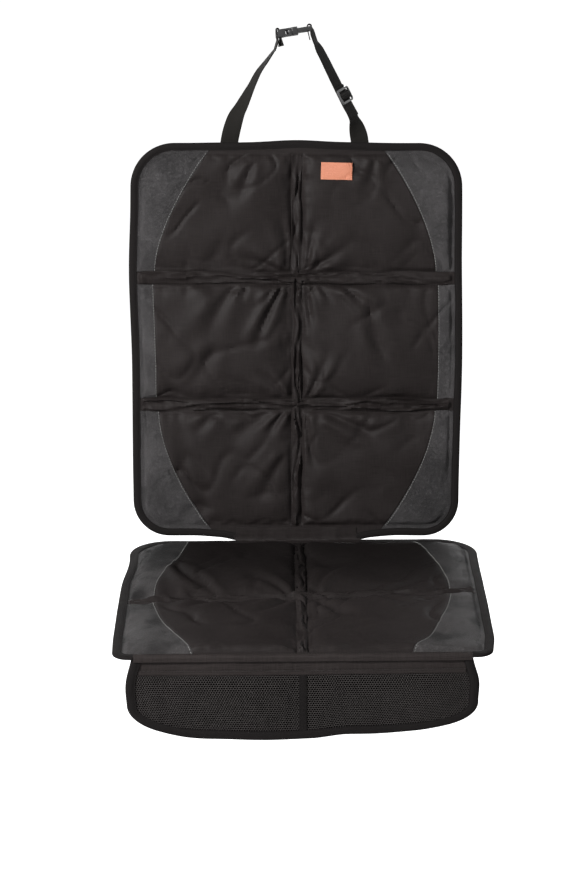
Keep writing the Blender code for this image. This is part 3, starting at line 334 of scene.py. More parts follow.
def cloud(tree, vector, scale, detail, output=0):
    made = add(tree, "ShaderNodeTexNoise", {"Vector": vector, "Scale": scale, "Detail": detail})
    return made.outputs[output]


def ramp(tree, value, start, end, low=0.0, high=1.0, kind="LINEAR"):
    """A value mapped from start..end to low..high."""
    values = {"Value": value, 1: start, 2: end, 3: low, 4: high}
    return add(tree, "ShaderNodeMapRange", values, interpolation_type=kind).outputs[0]


def mix(tree, share, one, two):
    """A colour mixed from two, each a socket or three numbers."""
    one, two = (c if isinstance(c, bpy.types.NodeSocket) else (*c, 1.0) for c in (one, two))
    return add(tree, "ShaderNodeMix", {0: share, 6: one, 7: two}, data_type="RGBA").outputs[2]


def weave_group():
    """Crossing threads: a height and a shade from flat coordinates."""
    inputs = {"Flat": None, "Threads": 180.0, "Slub": 0.3}
    tree, given, result = shader_group("crossed_threads", inputs, ("Height", "Shade"))
    flat = given.outputs["Flat"]
    split = add(tree, "ShaderNodeSeparateXYZ", {0: flat})
    turns = calc(tree, "MULTIPLY", given.outputs["Threads"], 2 * math.pi)
    warp = calc(tree, "SINE", calc(tree, "MULTIPLY", split.outputs["X"], turns))
    weft = calc(tree, "SINE", calc(tree, "MULTIPLY", split.outputs["Y"], turns))
    woven = calc(tree, "MULTIPLY_ADD", calc(tree, "MULTIPLY", warp, weft), 0.5, 0.5)
    both = []
    for stretch in ((2.0, 60.0, 1.0), (60.0, 2.0, 1.0)):
        slub = add(tree, "ShaderNodeMapping", {"Vector": flat, "Scale": stretch})
        both.append(cloud(tree, slub.outputs[0], 2.0, 3.0))
    slubs = calc(tree, "SUBTRACT", calc(tree, "ADD", *both), 1.0)
    height = calc(tree, "MULTIPLY_ADD", slubs, given.outputs["Slub"], woven)
    tree.links.new(height, result.inputs["Height"])
    shade = calc(tree, "MULTIPLY_ADD", slubs, 1.1, calc(tree, "MULTIPLY_ADD", woven, 0.35, 0.25))
    tree.links.new(shade, result.inputs["Shade"])
    return tree


def grain_group():
    """Pebbled leather-look grain: a height and a shade from flat coordinates."""
    inputs = {"Flat": None, "Grains": 70.0}
    tree, given, result = shader_group("pebbled_grain", inputs, ("Height", "Shade"))
    flat, grains = given.outputs["Flat"], given.outputs["Grains"]
    stray = cloud(tree, flat, 9.0, 2.0, "Color")
    moved = add(
        tree, "ShaderNodeVectorMath", {0: stray, 1: stray, 2: flat}, operation="MULTIPLY_ADD"
    ).outputs[0]
    cells = {"Vector": moved, "Scale": grains}
    edges = add(tree, "ShaderNodeTexVoronoi", cells, feature="DISTANCE_TO_EDGE")
    raised = ramp(tree, edges.outputs[0], 0.0, 0.22, kind="SMOOTHSTEP")
    fine = cloud(tree, flat, 260.0, 2.0)
    tree.links.new(calc(tree, "MULTIPLY_ADD", fine, 0.25, raised), result.inputs["Height"])
    each = add(tree, "ShaderNodeTexVoronoi", cells)
    tone = add(tree, "ShaderNodeSeparateColor", {0: each.outputs["Color"]})
    shade = calc(tree, "MULTIPLY_ADD", tone.outputs[0], 0.5, calc(tree, "MULTIPLY", raised, 0.6))
    tree.links.new(shade, result.inputs["Shade"])
    return tree


def ribs_group():
    """Fine ribs of woven tape along and across its length."""
    inputs = {"Flat": None, "Ribs": 90.0, "Slant": 0.0}
    tree, given, result = shader_group("tape_ribs", inputs, ("Height", "Shade"))
    split = add(tree, "ShaderNodeSeparateXYZ", {0: given.outputs["Flat"]})
    turns = calc(tree, "MULTIPLY", given.outputs["Ribs"], 2 * math.pi)
    leaning = calc(tree, "MULTIPLY_ADD", split.outputs["Y"], given.outputs["Slant"], split.outputs["X"])
    across = calc(tree, "SINE", calc(tree, "MULTIPLY", leaning, turns))
    along = calc(tree, "SINE", calc(tree, "MULTIPLY", split.outputs["Y"], calc(tree, "MULTIPLY", turns, 1.3)))
    woven = calc(tree, "MULTIPLY_ADD", calc(tree, "MULTIPLY_ADD", along, 0.35, across), 0.4, 0.5)
    fuzz = cloud(tree, given.outputs["Flat"], 120.0, 3.0)
    tree.links.new(calc(tree, "MULTIPLY_ADD", fuzz, 0.5, woven), result.inputs["Height"])
    tree.links.new(calc(tree, "MULTIPLY", calc(tree, "ADD", fuzz, woven), 0.6), result.inputs["Shade"])
    return tree


def wear_group():
    """Broad unevenness of use: a few paler, rougher spots and specks of lint."""
    tree, given, result = shader_group("light_wear", {"Scale": 9.0}, ("Amount",))
    place = add(tree, "ShaderNodeTexCoord").outputs["Object"]
    soft = ramp(tree, cloud(tree, place, given.outputs["Scale"], 5.0), 0.35, 0.75)
    specks = ramp(tree, cloud(tree, place, 420.0, 1.0), 0.68, 0.80)
    tree.links.new(calc(tree, "MULTIPLY_ADD", specks, 0.5, soft), result.inputs["Amount"])
    return tree


def painted_shade_blotch_group():
    """Painted shade: soft dark patches at random places, standing in for the shade where a coated cloth bends
    away.
    """
    tree, given, result = shader_group("painted_shade_blotches", {"Amount": 0.5}, ("Amount",))
    place = add(tree, "ShaderNodeTexCoord").outputs["Object"]
    soft = ramp(tree, cloud(tree, place, 21.0, 2.0), 0.40, 0.66, kind="SMOOTHSTEP")
    tree.links.new(calc(tree, "MULTIPLY", soft, given.outputs["Amount"]), result.inputs["Amount"])
    return tree


WEAVE, GRAIN, RIBS, WEAR, PAINTED_SHADE_BLOTCH = weave_group(), grain_group(), ribs_group(), wear_group(), painted_shade_blotch_group()


def grouped(tree, group, **values):
    node = tree.nodes.new("ShaderNodeGroup")
    node.node_tree = group
    for key, value in values.items():
        if isinstance(value, bpy.types.NodeSocket):
            tree.links.new(value, node.inputs[key])
        else:
            node.inputs[key].default_value = value
    return node


def finish(name, dark, light, rough, pattern=None, bump=0.3, depth=0.0003, sheen=0.0, wear=0.1,
           gloss=None, shine=0.5, painted_blotch_shade=0.0, rear=None, **sizes):
    """A material: two tones mixed by a pattern, with bump, wear, sheen, painted shade in soft blotches and
    painted shade towards the rear.
    """
    made = bpy.data.materials.new(name)
    made.use_nodes = True
    tree = made.node_tree
    shader = tree.nodes["Principled BSDF"]
    place = add(tree, "ShaderNodeTexCoord").outputs["Object"]
    worn = grouped(tree, WEAR).outputs[0]
    if pattern is not None:
        flat = add(tree, "ShaderNodeUVMap", uv_map="flat")
        figure = grouped(tree, pattern, Flat=flat.outputs[0], **sizes)
        shade, height = figure.outputs["Shade"], figure.outputs["Height"]
    else:
        shade = height = cloud(tree, place, 900.0, 3.0)
    pale = tuple(min(c * 1.6 + 0.01, 1.0) for c in light)
    tone = mix(tree, calc(tree, "MULTIPLY", worn, wear), mix(tree, shade, dark, light), pale)
    # Painted shade: soft dark blotches mixed into the colour
    if painted_blotch_shade:
        painted_shade = grouped(tree, PAINTED_SHADE_BLOTCH, Amount=painted_blotch_shade).outputs[0]
        tone = mix(tree, painted_shade, tone, tuple(c * 0.8 for c in dark))
    # Painted shade: darker towards the rear along y, standing in for the shade the back panel casts on the
    # seat
    if rear is not None:
        start, end, share = rear
        along = add(tree, "ShaderNodeSeparateXYZ", {0: place}).outputs[1]
        painted_rear_shade = ramp(tree, along, start, end, 0.0, share, "SMOOTHSTEP")
        tone = mix(tree, painted_rear_shade, tone, tuple(c * 0.4 for c in dark))
    relief = add(tree, "ShaderNodeBump", {"Strength": bump, "Distance": depth, "Height": height})
    tree.links.new(tone, shader.inputs["Base Color"])
    tree.links.new(calc(tree, "MULTIPLY_ADD", worn, 0.12, rough), shader.inputs["Roughness"])
    tree.links.new(relief.outputs[0], shader.inputs["Normal"])
    values = {"Specular IOR Level": shine}
    if sheen:
        values.update({"Sheen Weight": sheen, "Sheen Roughness": 0.45})
    if gloss is not None:
        values.update({"Coat Weight": gloss, "Coat Roughness": 0.12})
    for label, value in values.items():
        shader.inputs[label].default_value = value
    return made


WOVEN = dict(pattern=WEAVE, bump=0.35, depth=0.0002, wear=0.12, Threads=110.0, Slub=0.15)
GRAINED = dict(pattern=GRAIN, bump=0.90, depth=0.0007, sheen=0.01, wear=0.50, Grains=36.0, shine=0.12)
MOULDED = dict(bump=0.06, depth=0.0001, wear=0.05)
SPUN = dict(bump=0.3, depth=0.0002)
OXFORD_TONES = (0.0086, 0.0069, 0.0066), (0.0245, 0.0200, 0.0196)
OXFORD = finish("oxford_cloth", *OXFORD_TONES, 0.48, **WOVEN, shine=0.09)
# The seat's face cloth: a copy of the oxford cloth with painted shade towards the rear
SEAT_OXFORD_PAINTED_SHADE = finish("seat_cloth_painted_shade", *OXFORD_TONES, 0.48, **WOVEN, shine=0.09, rear=(-0.03, 0.12, 0.72))
HEM_CLOTH = finish("hem_cloth", (0.0125, 0.0102, 0.0098), (0.0390, 0.0322, 0.0312), 0.55, **WOVEN, shine=0.08)
# Painted shade: a near-black cloth finish behind the nets, standing in for the shade inside the pockets
POCKET_PAINTED_SHADE = finish("pocket_painted_shade", (0.0030, 0.0027, 0.0026), (0.0085, 0.0075, 0.0072), 0.75, WEAVE,
                bump=0.35, depth=0.0002, wear=0.05, Threads=110.0, shine=0.02)
# Patches: grained cloth with a little painted shade in soft dark blotches
PATCH = finish(
    "grained_patch", (0.0130, 0.0124, 0.0126), (0.101, 0.0955, 0.0970), 0.50, **GRAINED, painted_blotch_shade=0.22
)
# The seat's patches: a slightly darker copy of the patch finish, with stronger painted shade in blotches and
# painted shade towards the rear
SEAT_PATCH_PAINTED_SHADE = finish("seat_patch", (0.0115, 0.0110, 0.0111), (0.096, 0.0900, 0.0905), 0.50, **GRAINED,
                    painted_blotch_shade=0.74, rear=(0.02, 0.20, 0.62))
TAPE_CLOTH = finish("binding_tape", (0.0048, 0.0043, 0.0043), (0.0150, 0.0132, 0.0130), 0.72, RIBS,
                    bump=0.5, depth=0.0003, sheen=0.01, wear=0.10, Ribs=95.0, shine=0.05)
BACKING = finish("backing_cloth", (0.030, 0.030, 0.031), (0.075, 0.075, 0.078), 0.85, WEAVE,
                 bump=0.5, depth=0.0004, wear=0.2, Threads=35.0, shine=0.1)
FOAM = finish("foam", (0.55, 0.55, 0.53), (0.75, 0.75, 0.73), 0.9, bump=0.5, depth=0.0005)
NET = finish("pocket_net", (0.021, 0.0185, 0.018), (0.072, 0.065, 0.063), 0.55, WEAVE,
             bump=0.4, depth=0.0001, sheen=0.05, Threads=300.0, shine=0.1)
WEB = finish("webbing", (0.0040, 0.0036, 0.0032), (0.0165, 0.0150, 0.0135), 0.62, RIBS,
             bump=0.8, depth=0.0005, sheen=0.05, Ribs=48.0, Slant=1.0, shine=0.08)
PLASTIC = finish(
    "black_plastic", (0.0060, 0.0060, 0.0065), (0.0085, 0.0085, 0.0090), 0.26, **MOULDED, gloss=0.25
)
RIM = finish("slide_plastic", (0.055, 0.055, 0.056), (0.075, 0.075, 0.077), 0.22, **MOULDED, gloss=0.5)
LABEL = finish("label_leather", (0.48, 0.160, 0.083), (0.70, 0.265, 0.158), 0.52, GRAIN,
               bump=0.35, depth=0.0003, wear=0.05, Grains=110.0)
BLACK_THREAD = finish("black_thread", (0.005, 0.0045, 0.004), (0.014, 0.012, 0.0115), 0.6, **SPUN, shine=0.12)
GREY_THREAD = finish("grey_thread", (0.17, 0.17, 0.165), (0.30, 0.30, 0.29), 0.5, **SPUN, shine=0.2)
PALE_THREAD = finish("label_thread", (0.60, 0.22, 0.13), (0.80, 0.36, 0.24), 0.5, **SPUN)


# Camera, light and floor
CAMERA_PLACE, CAMERA_LENS = (-0.0371, -3.7126, 1.3865), 120.18
CAMERA_YAW, CAMERA_PITCH, CAMERA_ROLL = math.radians(-0.383), math.radians(17.255), math.radians(-0.302)


def look():
    cam = link("camera", bpy.data.cameras.new("camera"))
    yaw, pitch, roll = CAMERA_YAW, CAMERA_PITCH, CAMERA_ROLL
    back = Vector((math.sin(yaw) * math.cos(pitch), -math.cos(yaw) * math.cos(pitch), math.sin(pitch)))
    right = Vector((math.cos(yaw), math.sin(yaw), 0.0))
    up = back.cross(right)
    side = right * math.cos(roll) + up * math.sin(roll)
    top = up * math.cos(roll) - right * math.sin(roll)
    turn = Matrix((side, top, back)).transposed().to_4x4()
    cam.matrix_world = Matrix.Translation(CAMERA_PLACE) @ turn
    cam.data.lens = CAMERA_LENS
    cam.data.sensor_width = 36.0
    cam.data.clip_end = 50.0
    bpy.context.scene.camera = cam


def lamp(name, place, target, size, power):
    light = bpy.data.lights.new(name, "AREA")
    light.shape = "DISK"
    light.size = size
    light.energy = power
    made = link(name, light)
    made.location = place
    made.rotation_mode = "QUATERNION"
    made.rotation_quaternion = (Vector(target) - Vector(place)).to_track_quat("-Z", "Y")


def studio():
    scene = bpy.context.scene
    scene.view_settings.view_transform = "Standard"
    world = bpy.data.worlds.new("studio")
    scene.world = world
    world.use_nodes = True
    tree = world.node_tree
    ground = tree.nodes["Background"]
    ground.inputs["Color"].default_value = (1.0, 1.0, 1.0, 1.0)
    ground.inputs["Strength"].default_value = 0.13
    white = add(tree, "ShaderNodeBackground", {"Color": (1.0, 1.0, 1.0, 1.0), "Strength": 1.0})
    ray = add(tree, "ShaderNodeLightPath")
    seen = calc(tree, "MAXIMUM", ray.outputs["Is Camera Ray"], ray.outputs["Is Glossy Ray"])
    seen = calc(tree, "MAXIMUM", seen, ray.outputs["Is Transmission Ray"])
    mixed = add(tree, "ShaderNodeMixShader", {0: seen, 1: ground.outputs[0], 2: white.outputs[0]})
    tree.links.new(mixed.outputs[0], tree.nodes["World Output"].inputs["Surface"])
    lamp("key", (-1.55, -1.45, 1.35), (0.0, 0.15, 0.25), 0.48, 84.0)
    lamp("fill", (2.4, -2.6, 0.6), (0.0, 0.1, 0.2), 1.6, 14.0)
    lamp("rear", (0.0, 3.0, 0.9), (0.0, 0.2, 0.3), 1.2, 34.0)

    mesh = bpy.data.meshes.new("floor")
    reach, low = 30.0, -0.80
    mesh.from_pydata(
        [(-reach, -reach, low), (reach, -reach, low), (reach, reach, low), (-reach, reach, low)], [],
        [(0, 1, 2, 3)]
    )
    pale = bpy.data.materials.new("floor")
    pale.use_nodes = True
    shade = pale.node_tree
    surface = shade.nodes["Principled BSDF"]
    surface.inputs["Base Color"].default_value = (0.9, 0.9, 0.9, 1.0)
    surface.inputs["Roughness"].default_value = 0.9
    surface.inputs["Emission Color"].default_value = (1.0, 1.0, 1.0, 1.0)
    path = add(shade, "ShaderNodeLightPath")
    place = add(shade, "ShaderNodeTexCoord")
    away = add(
        shade, "ShaderNodeVectorMath", {0: place.outputs["Object"], 1: (0.0, 0.1, low)}, operation="DISTANCE"
    )
    glow = add(
        shade, "ShaderNodeMapRange", {"Value": away.outputs["Value"], 1: 0.7, 2: 2.2, 3: 0.80, 4: 0.90}
    )
    shade.links.new(
        calc(shade, "MULTIPLY", path.outputs["Is Camera Ray"], glow.outputs[0]),
        surface.inputs["Emission Strength"]
    )
    mesh.materials.append(pale)
    floor = link("floor", mesh)


# Quilted panels
class Quilt:
    """A padded panel as a fine grid of outer points that follows its seams."""

    def __init__(self, plane, width, low, high, radii, channels, seam, low_edge, skew, folds, seed):
        self.plane, self.half, self.low, self.high = plane, width / 2, low, high
        self.low_radius, self.high_radius = radii
        self.channels, self.seam, self.low_edge, self.skew = channels, seam, low_edge, skew
        self.folds, self.seed = folds, seed
        self.set_rows()
        self.set_columns()
        self.heights()

    def set_rows(self):
        knots = [self.low + CLOTH_SETBACK, self.low + self.low_edge]
        counts = [5]
        zones = [("cell", 0)]
        for k, middle in enumerate(self.channels):
            knots += [middle - CHANNEL_WIDTH / 2, middle + CHANNEL_WIDTH / 2]
            counts += [max(int((knots[-2] - knots[-3]) / 0.0031), 8), 10]
            zones += [("cell", k), ("channel", k)]
        knots += [self.high - FLAT_EDGE, self.high - CLOTH_SETBACK]
        counts += [max(int((knots[-2] - knots[-3]) / 0.0031), 8), 5]
        zones += [("cell", len(self.channels))] * 2
        rows, zone, marks = [knots[0]], [], [0]
        for k, count in enumerate(counts):
            bias = 0.5 if count > 12 else 0.0
            rows += list(graded(knots[k], knots[k + 1], count, bias)[1:])
            zone += [zones[k]] * count
            marks.append(len(rows) - 1)
        self.rows, self.zone, self.marks = np.array(rows), zone, marks

    def half_width(self, v, inset):
        found = np.full_like(v, self.half - inset)
        for radius, depth in ((self.high_radius, self.high - v), (self.low_radius, v - self.low)):
            bend = np.maximum((radius - inset) ** 2 - (radius - depth) ** 2, 0.0)
            found = np.where(depth < radius, self.half - radius + np.sqrt(bend), found)
        return found

    def inside(self, u, v):
        across = self.half - np.abs(u)
        up = np.minimum(self.high - v, v - self.low)
        radius = np.where(self.high - v < v - self.low, self.high_radius, self.low_radius)
        round_part = (across < radius) & (up < radius)
        return np.where(round_part, radius - np.hypot(radius - across, radius - up), np.minimum(across, up))

    def set_columns(self):
        v = self.rows
        edge = self.half_width(v, CLOTH_SETBACK)
        flat = np.minimum(self.half_width(v, FLAT_EDGE), edge - 0.002)
        seam = np.minimum(self.seam(v), flat - 0.004)
        counts = (4, 20, 52, 5)
        stops = (edge, flat, seam, np.full_like(v, SPINE_WIDTH / 2), np.zeros_like(v))
        half = [stops[0]]
        for k, count in enumerate(counts):
            share = graded(0.0, 1.0, count, 0.45 if count > 12 else 0.0)[1:]
            half += [stops[k] + (stops[k + 1] - stops[k]) * s for s in share]
        half = np.stack(half, axis=1)
        self.U = np.concatenate([-half[:, :-1], half[:, ::-1]], axis=1)
        self.V = np.broadcast_to(v[:, None], self.U.shape).copy()
        self.seam_col = counts[0] + counts[1]
        self.spine_col = self.seam_col + counts[2]
        self.cols = self.U.shape[1]

    def slip(self, u, v):
        """Place along the panel after the skew of a single cross channel."""
        if not self.skew:
            return v
        middle, low, high = self.channels[0], self.low + self.low_edge, self.high - FLAT_EDGE
        share = np.where(v < middle, (v - low) / (middle - low), (high - v) / (high - middle))
        return v + self.skew * u * np.clip(share, 0.0, 1.0)

    def margin(self, u, v):
        return np.minimum(self.inside(u, v) - FLAT_EDGE, v - self.low - self.low_edge)

    def heights(self):
        u, v, seed = self.U, self.V, self.seed
        margin = self.margin(u, v)
        to_spine = np.abs(u) - SPINE_WIDTH / 2
        to_channel = np.full_like(u, 9.0)
        above = np.zeros_like(u, bool)
        for middle in self.channels:
            gap = np.abs(v - middle) - CHANNEL_WIDTH / 2
            above = np.where(gap < to_channel, v > middle, above)
            to_channel = np.minimum(to_channel, gap)
        border = np.minimum(to_spine, to_channel)
        near = np.maximum(np.minimum(border, margin), 0.0)
        crown = np.sin(math.pi / 2 * np.clip(near / 0.085, 0.0, 1.0))
        rounding = 1.0 - np.exp(-np.maximum(to_channel, 0.0) / np.where(above, 0.0135, 0.0075))
        rounding = np.minimum(
            rounding, 1.0 - np.exp(-np.maximum(to_spine, 0.0) / np.where(u < 0.0, 0.0130, 0.0080))
        )
        rounding = np.minimum(rounding, 1.0 - np.exp(-np.maximum(margin, 0.0) / 0.0055))
        cell = CHANNEL_TOP + 0.0072 * rounding + 0.0026 * crown
        # Puckers that run away from each stitched line
        away = bell(to_channel, 0.014) * noise(u / 0.0080, v / 0.06, seed) * 0.9
        away += bell(to_channel, 0.030) * noise(u / 0.021 + 7.3, v / 0.09, seed + 1) * 1.2
        side = bell(to_spine, 0.013) * noise(v / 0.0085, u / 0.05, seed + 2) * 0.8
        side += bell(to_spine, 0.030) * noise(v / 0.024 + 3.1, u / 0.08, seed + 3) * 1.1
        rim = bell(margin, 0.010) * noise((u + v) / 0.012, (u - v) / 0.012, seed + 4) * 1.0
        rim += bell(margin, 0.022) * noise((u + v) / 0.030, (u - v) / 0.030, seed + 11) * 0.8
        broad = noise(u / 0.075 + v / 0.2, v / 0.055, seed + 5) * 1.8 + noise(
            u / 0.035 + 5.0, v / 0.04, seed + 6
        ) * 0.5
        warp_u = u + 0.018 * noise(u / 0.06, v / 0.06, seed + 16)
        warp_v = v + 0.018 * noise(u / 0.06 + 9.0, v / 0.06, seed + 17)
        calm = ease((margin - 0.035) / 0.030) if self.skew else 1.0
        for scale, slant, number in ((0.085, 0.7, 18), (0.060, -0.9, 20)):
            line = 1.0 - np.abs(
                noise(
                    (warp_u + slant * warp_v) / scale, (warp_v - slant * warp_u) / (1.6 * scale),
                    seed + number
                )
            )
            some = ease(0.5 + noise(u / 0.05, v / 0.05, seed + number + 1))
            broad -= 2.3 * some * calm * line**9
        rise = ease(near / 0.007)
        cell += 0.0019 * rise * (away + side + rim + broad)
        for fold in self.folds:
            cell += rise * self.fold(u, v, *fold)
        # Puffed cloth between the two stitched lines of a channel, with streaks along it
        depth = np.clip(-border / (SPINE_WIDTH / 2), 0.0, 1.0)
        puff = np.sqrt(np.clip(depth * (2.0 - depth), 0.0, 1.0))
        level = to_channel < to_spine
        drift = noise(u / 0.045, v / 0.3, seed + 12) * 0.5 + noise(u / 0.02, v / 0.3, seed + 13) * 0.25
        lean = noise(v / 0.045, u / 0.3, seed + 14) * 0.5 + noise(v / 0.02, u / 0.3, seed + 15) * 0.25
        streak = np.where(
            level, noise(u / 0.05, v / 0.0038 + drift * 2.0, seed + 7),
            noise(v / 0.05, u / 0.0036 + lean * 2.0, seed + 8)
        )
        cross = np.where(
            level, noise(u / 0.010 + v / 0.012, v / 0.05, seed + 9),
            noise(v / 0.010 + u / 0.012, u / 0.05, seed + 10)
        )
        pinch = np.where(
            level, noise(u / 0.09 + 4.0, v / 0.007 + drift * 2.5, seed + 21),
            noise(v / 0.09 + 4.0, u / 0.007 + lean * 2.5, seed + 22)
        )
        crease = (1.0 - np.abs(pinch)) ** 14
        channel = CHANNEL_TOP + puff * np.maximum(
            0.0039 + 0.0044 * streak + 0.0016 * cross - 0.0054 * crease, 0.0001
        )
        inner = np.where(border > 0.0, cell, channel)
        groove = 0.0010 * bell(border, 0.0015) * ease(margin / 0.004)
        inner = np.maximum(inner - groove, CHANNEL_TOP - 0.0002)
        seam_gap = np.abs(np.abs(u) - self.seam(v))
        in_cell = (to_channel > 0.001) & (margin > 0.002)
        inner -= 0.0006 * bell(seam_gap, 0.0012) * in_cell
        self.H = np.where(
            margin > 0.0, EDGE_TOP + (inner - EDGE_TOP) * np.clip(margin / 0.004, 0.0, 1.0), EDGE_TOP
        )
        self.near = near

    def fold(self, u, v, start_u, start_v, end_u, end_v, width, depth, bow=0.0):
        """A crease with a soft ridge beside it, from one point to another, slightly bowed."""
        run_u, run_v = end_u - start_u, end_v - start_v
        length = math.hypot(run_u, run_v)
        share = ((u - start_u) * run_u + (v - start_v) * run_v) / length**2
        off = ((u - start_u) * run_v - (v - start_v) * run_u) / length
        off = off - bow * np.sin(math.pi * np.clip(share, 0.0, 1.0))
        ends = np.clip(share, 0.0, 1.0)
        fade = ease(ends / 0.10) * ease((1.0 - ends) / 0.55)
        spread = width * (0.55 + 0.9 * ends)
        sharp = 1.35 * np.exp(-np.sqrt(off**2 + (0.30 * spread) ** 2) / (0.75 * spread))
        return 2.3 * fade * depth * (
            -sharp + 0.8 * bell(off - 2.0 * spread, 1.3 * spread)
            + 0.5 * bell(off + 2.2 * spread, 1.5 * spread)
        )

    def stray(self, u, v):
        """Where a flat place ends up: stitched lines waver a little and the cross channel may slant."""
        to_line = sum(bell(v - middle, 0.030) for middle in self.channels)
        off_v = 0.0018 * to_line * noise(u / 0.038, v / 0.013, self.seed + 30)
        off_u = 0.0016 * bell(u, 0.030) * noise(v / 0.038, u / 0.013, self.seed + 31)
        inner = ease(self.margin(u, v) / 0.012)
        return u + off_u * inner, self.slip(u, v) + off_v * inner

    def points(self):
        u, v = self.stray(self.U, self.V)
        return self.plane.place(u, v, self.H)

    def tiles(self, wanted):
        rows, cols = len(self.rows) - 1, self.cols - 1
        keep = np.zeros((rows, cols), bool)
        for row in range(rows):
            keep[row] = wanted(self.zone[row], np.arange(cols))
        return keep

    def flat_uv(self):
        return np.stack([self.U, self.slip(self.U, self.V)], axis=-1)

    def area(self, keep):
        flat = self.flat_uv()
        one = flat[1:, 1:] - flat[:-1, :-1]
        two = flat[1:, :-1] - flat[:-1, 1:]
        return float((np.abs(one[..., 0] * two[..., 1] - one[..., 1] * two[..., 0]) / 2)[keep].sum())


def seam_line(drop, upper, lower, length, at_start, at_end, at_channel, between):
    """Half width of the quilted field at a distance from the upper or rear edge."""
    high = at_channel - (at_channel - at_start) * np.abs(1.0 - drop / upper) ** SEAM_CURVE
    low = at_channel - (at_channel - at_end) * np.abs((drop - lower) / (length - lower)) ** SEAM_CURVE
    return np.where(drop < upper, high, np.where(drop > lower, low, between))


def back_seam(v):
    upper, lower = UPPER_DROP - CHANNEL_WIDTH / 2, LOWER_DROP + CHANNEL_WIDTH / 2
    widths = BACK_SEAM_EDGE, BACK_SEAM_EDGE, BACK_SEAM_CHANNEL, BACK_SEAM_BETWEEN
    return seam_line(BACK_HEIGHT - v, upper, lower, BACK_HEIGHT, *widths)


def seat_seam(v):
    rear, front = SEAT_DROP - CHANNEL_WIDTH / 2, SEAT_DROP + CHANNEL_WIDTH / 2
    widths = SEAT_SEAM_REAR, SEAT_SEAM_FRONT, SEAT_SEAM_CHANNEL, SEAT_SEAM_CHANNEL
    return seam_line(SEAT_DEPTH / 2 - v, rear, front, SEAT_DEPTH, *widths)


UP, DOWN = UPPER_CHANNEL, LOWER_CHANNEL
BACK_FOLDS = (
    (-0.019, UP - 0.008, -0.065, UP - 0.116, 0.0052, 0.0029, 0.003),
    (-0.028, UP - 0.008, -0.050, UP - 0.046, 0.0036, 0.0022, 0.001),
    (-0.068, UP - 0.009, -0.081, UP - 0.040, 0.0036, 0.0017, 0.001),
    (-0.086, UP - 0.011, -0.130, UP - 0.100, 0.0085, 0.0020, 0.006),
    (-0.112, UP - 0.094, -0.168, UP - 0.166, 0.0110, 0.0016, -0.004),
    (0.012, UP - 0.008, 0.026, UP - 0.080, 0.0042, 0.0018, 0.002),
    (0.030, UP - 0.008, 0.052, UP - 0.040, 0.0036, 0.0015, -0.001),
    (0.066, UP - 0.010, 0.107, UP - 0.058, 0.0055, 0.0024, -0.003),
    (0.100, UP - 0.026, 0.134, UP - 0.142, 0.0080, 0.0022, 0.004),
    (-0.022, UP + 0.009, -0.090, UP + 0.034, 0.0055, 0.0018, 0.003),
    (0.020, UP + 0.009, 0.078, UP + 0.046, 0.0055, 0.0018, -0.003),
    (-0.012, UP + 0.010, -0.030, UP + 0.120, 0.0060, 0.0016, 0.003),
    (0.014, UP + 0.012, 0.030, UP + 0.090, 0.0050, 0.0014, -0.002),
    (-0.060, UP + 0.165, -0.082, UP + 0.100, 0.0060, 0.0016, 0.003),
    (0.110, UP + 0.170, 0.090, UP + 0.110, 0.0060, 0.0014, -0.003),
    (-0.015, DOWN + 0.009, -0.064, DOWN + 0.056, 0.0050, 0.0018, 0.003),
    (0.015, DOWN + 0.009, 0.050, DOWN + 0.088, 0.0055, 0.0018, 0.002),
    (-0.016, DOWN - 0.008, -0.042, DOWN - 0.050, 0.0046, 0.0026, 0.002),
    (-0.040, DOWN - 0.009, -0.092, DOWN - 0.060, 0.0070, 0.0014, 0.003),
    (0.036, DOWN - 0.011, 0.140, DOWN - 0.068, 0.0080, 0.0026, -0.006),
    (0.012, DOWN - 0.008, 0.030, DOWN - 0.110, 0.0050, 0.0016, 0.002),
    (-0.014, DOWN - 0.070, -0.060, DOWN - 0.160, 0.0080, 0.0014, 0.004),
    (-0.110, DOWN - 0.010, -0.150, DOWN - 0.050, 0.0060, 0.0014, 0.003),
)
SEAT_FOLDS = (
    (-0.180, SEAT_CHANNEL + 0.116, -0.118, SEAT_CHANNEL + 0.016, 0.0085, 0.0026, 0.004),
    (-0.014, SEAT_CHANNEL + 0.008, -0.090, SEAT_CHANNEL + 0.090, 0.0070, 0.0018, 0.006),
    (0.014, SEAT_CHANNEL + 0.008, 0.070, SEAT_CHANNEL + 0.120, 0.0070, 0.0016, -0.005),
    (0.016, SEAT_CHANNEL - 0.008, 0.085, SEAT_CHANNEL - 0.110, 0.0075, 0.0018, 0.006),
    (-0.016, SEAT_CHANNEL - 0.008, -0.070, SEAT_CHANNEL - 0.090, 0.0070, 0.0016, -0.004),
    (-0.100, SEAT_CHANNEL - 0.010, -0.160, SEAT_CHANNEL - 0.060, 0.0070, 0.0014, 0.004),
    (0.100, SEAT_CHANNEL - 0.010, 0.150, SEAT_CHANNEL - 0.070, 0.0070, 0.0014, 0.004),
    (-0.110, SEAT_CHANNEL + 0.010, -0.170, SEAT_CHANNEL + 0.080, 0.0070, 0.0014, 0.004),
    (0.110, SEAT_CHANNEL + 0.012, 0.180, SEAT_CHANNEL + 0.060, 0.0070, 0.0014, 0.004),
)


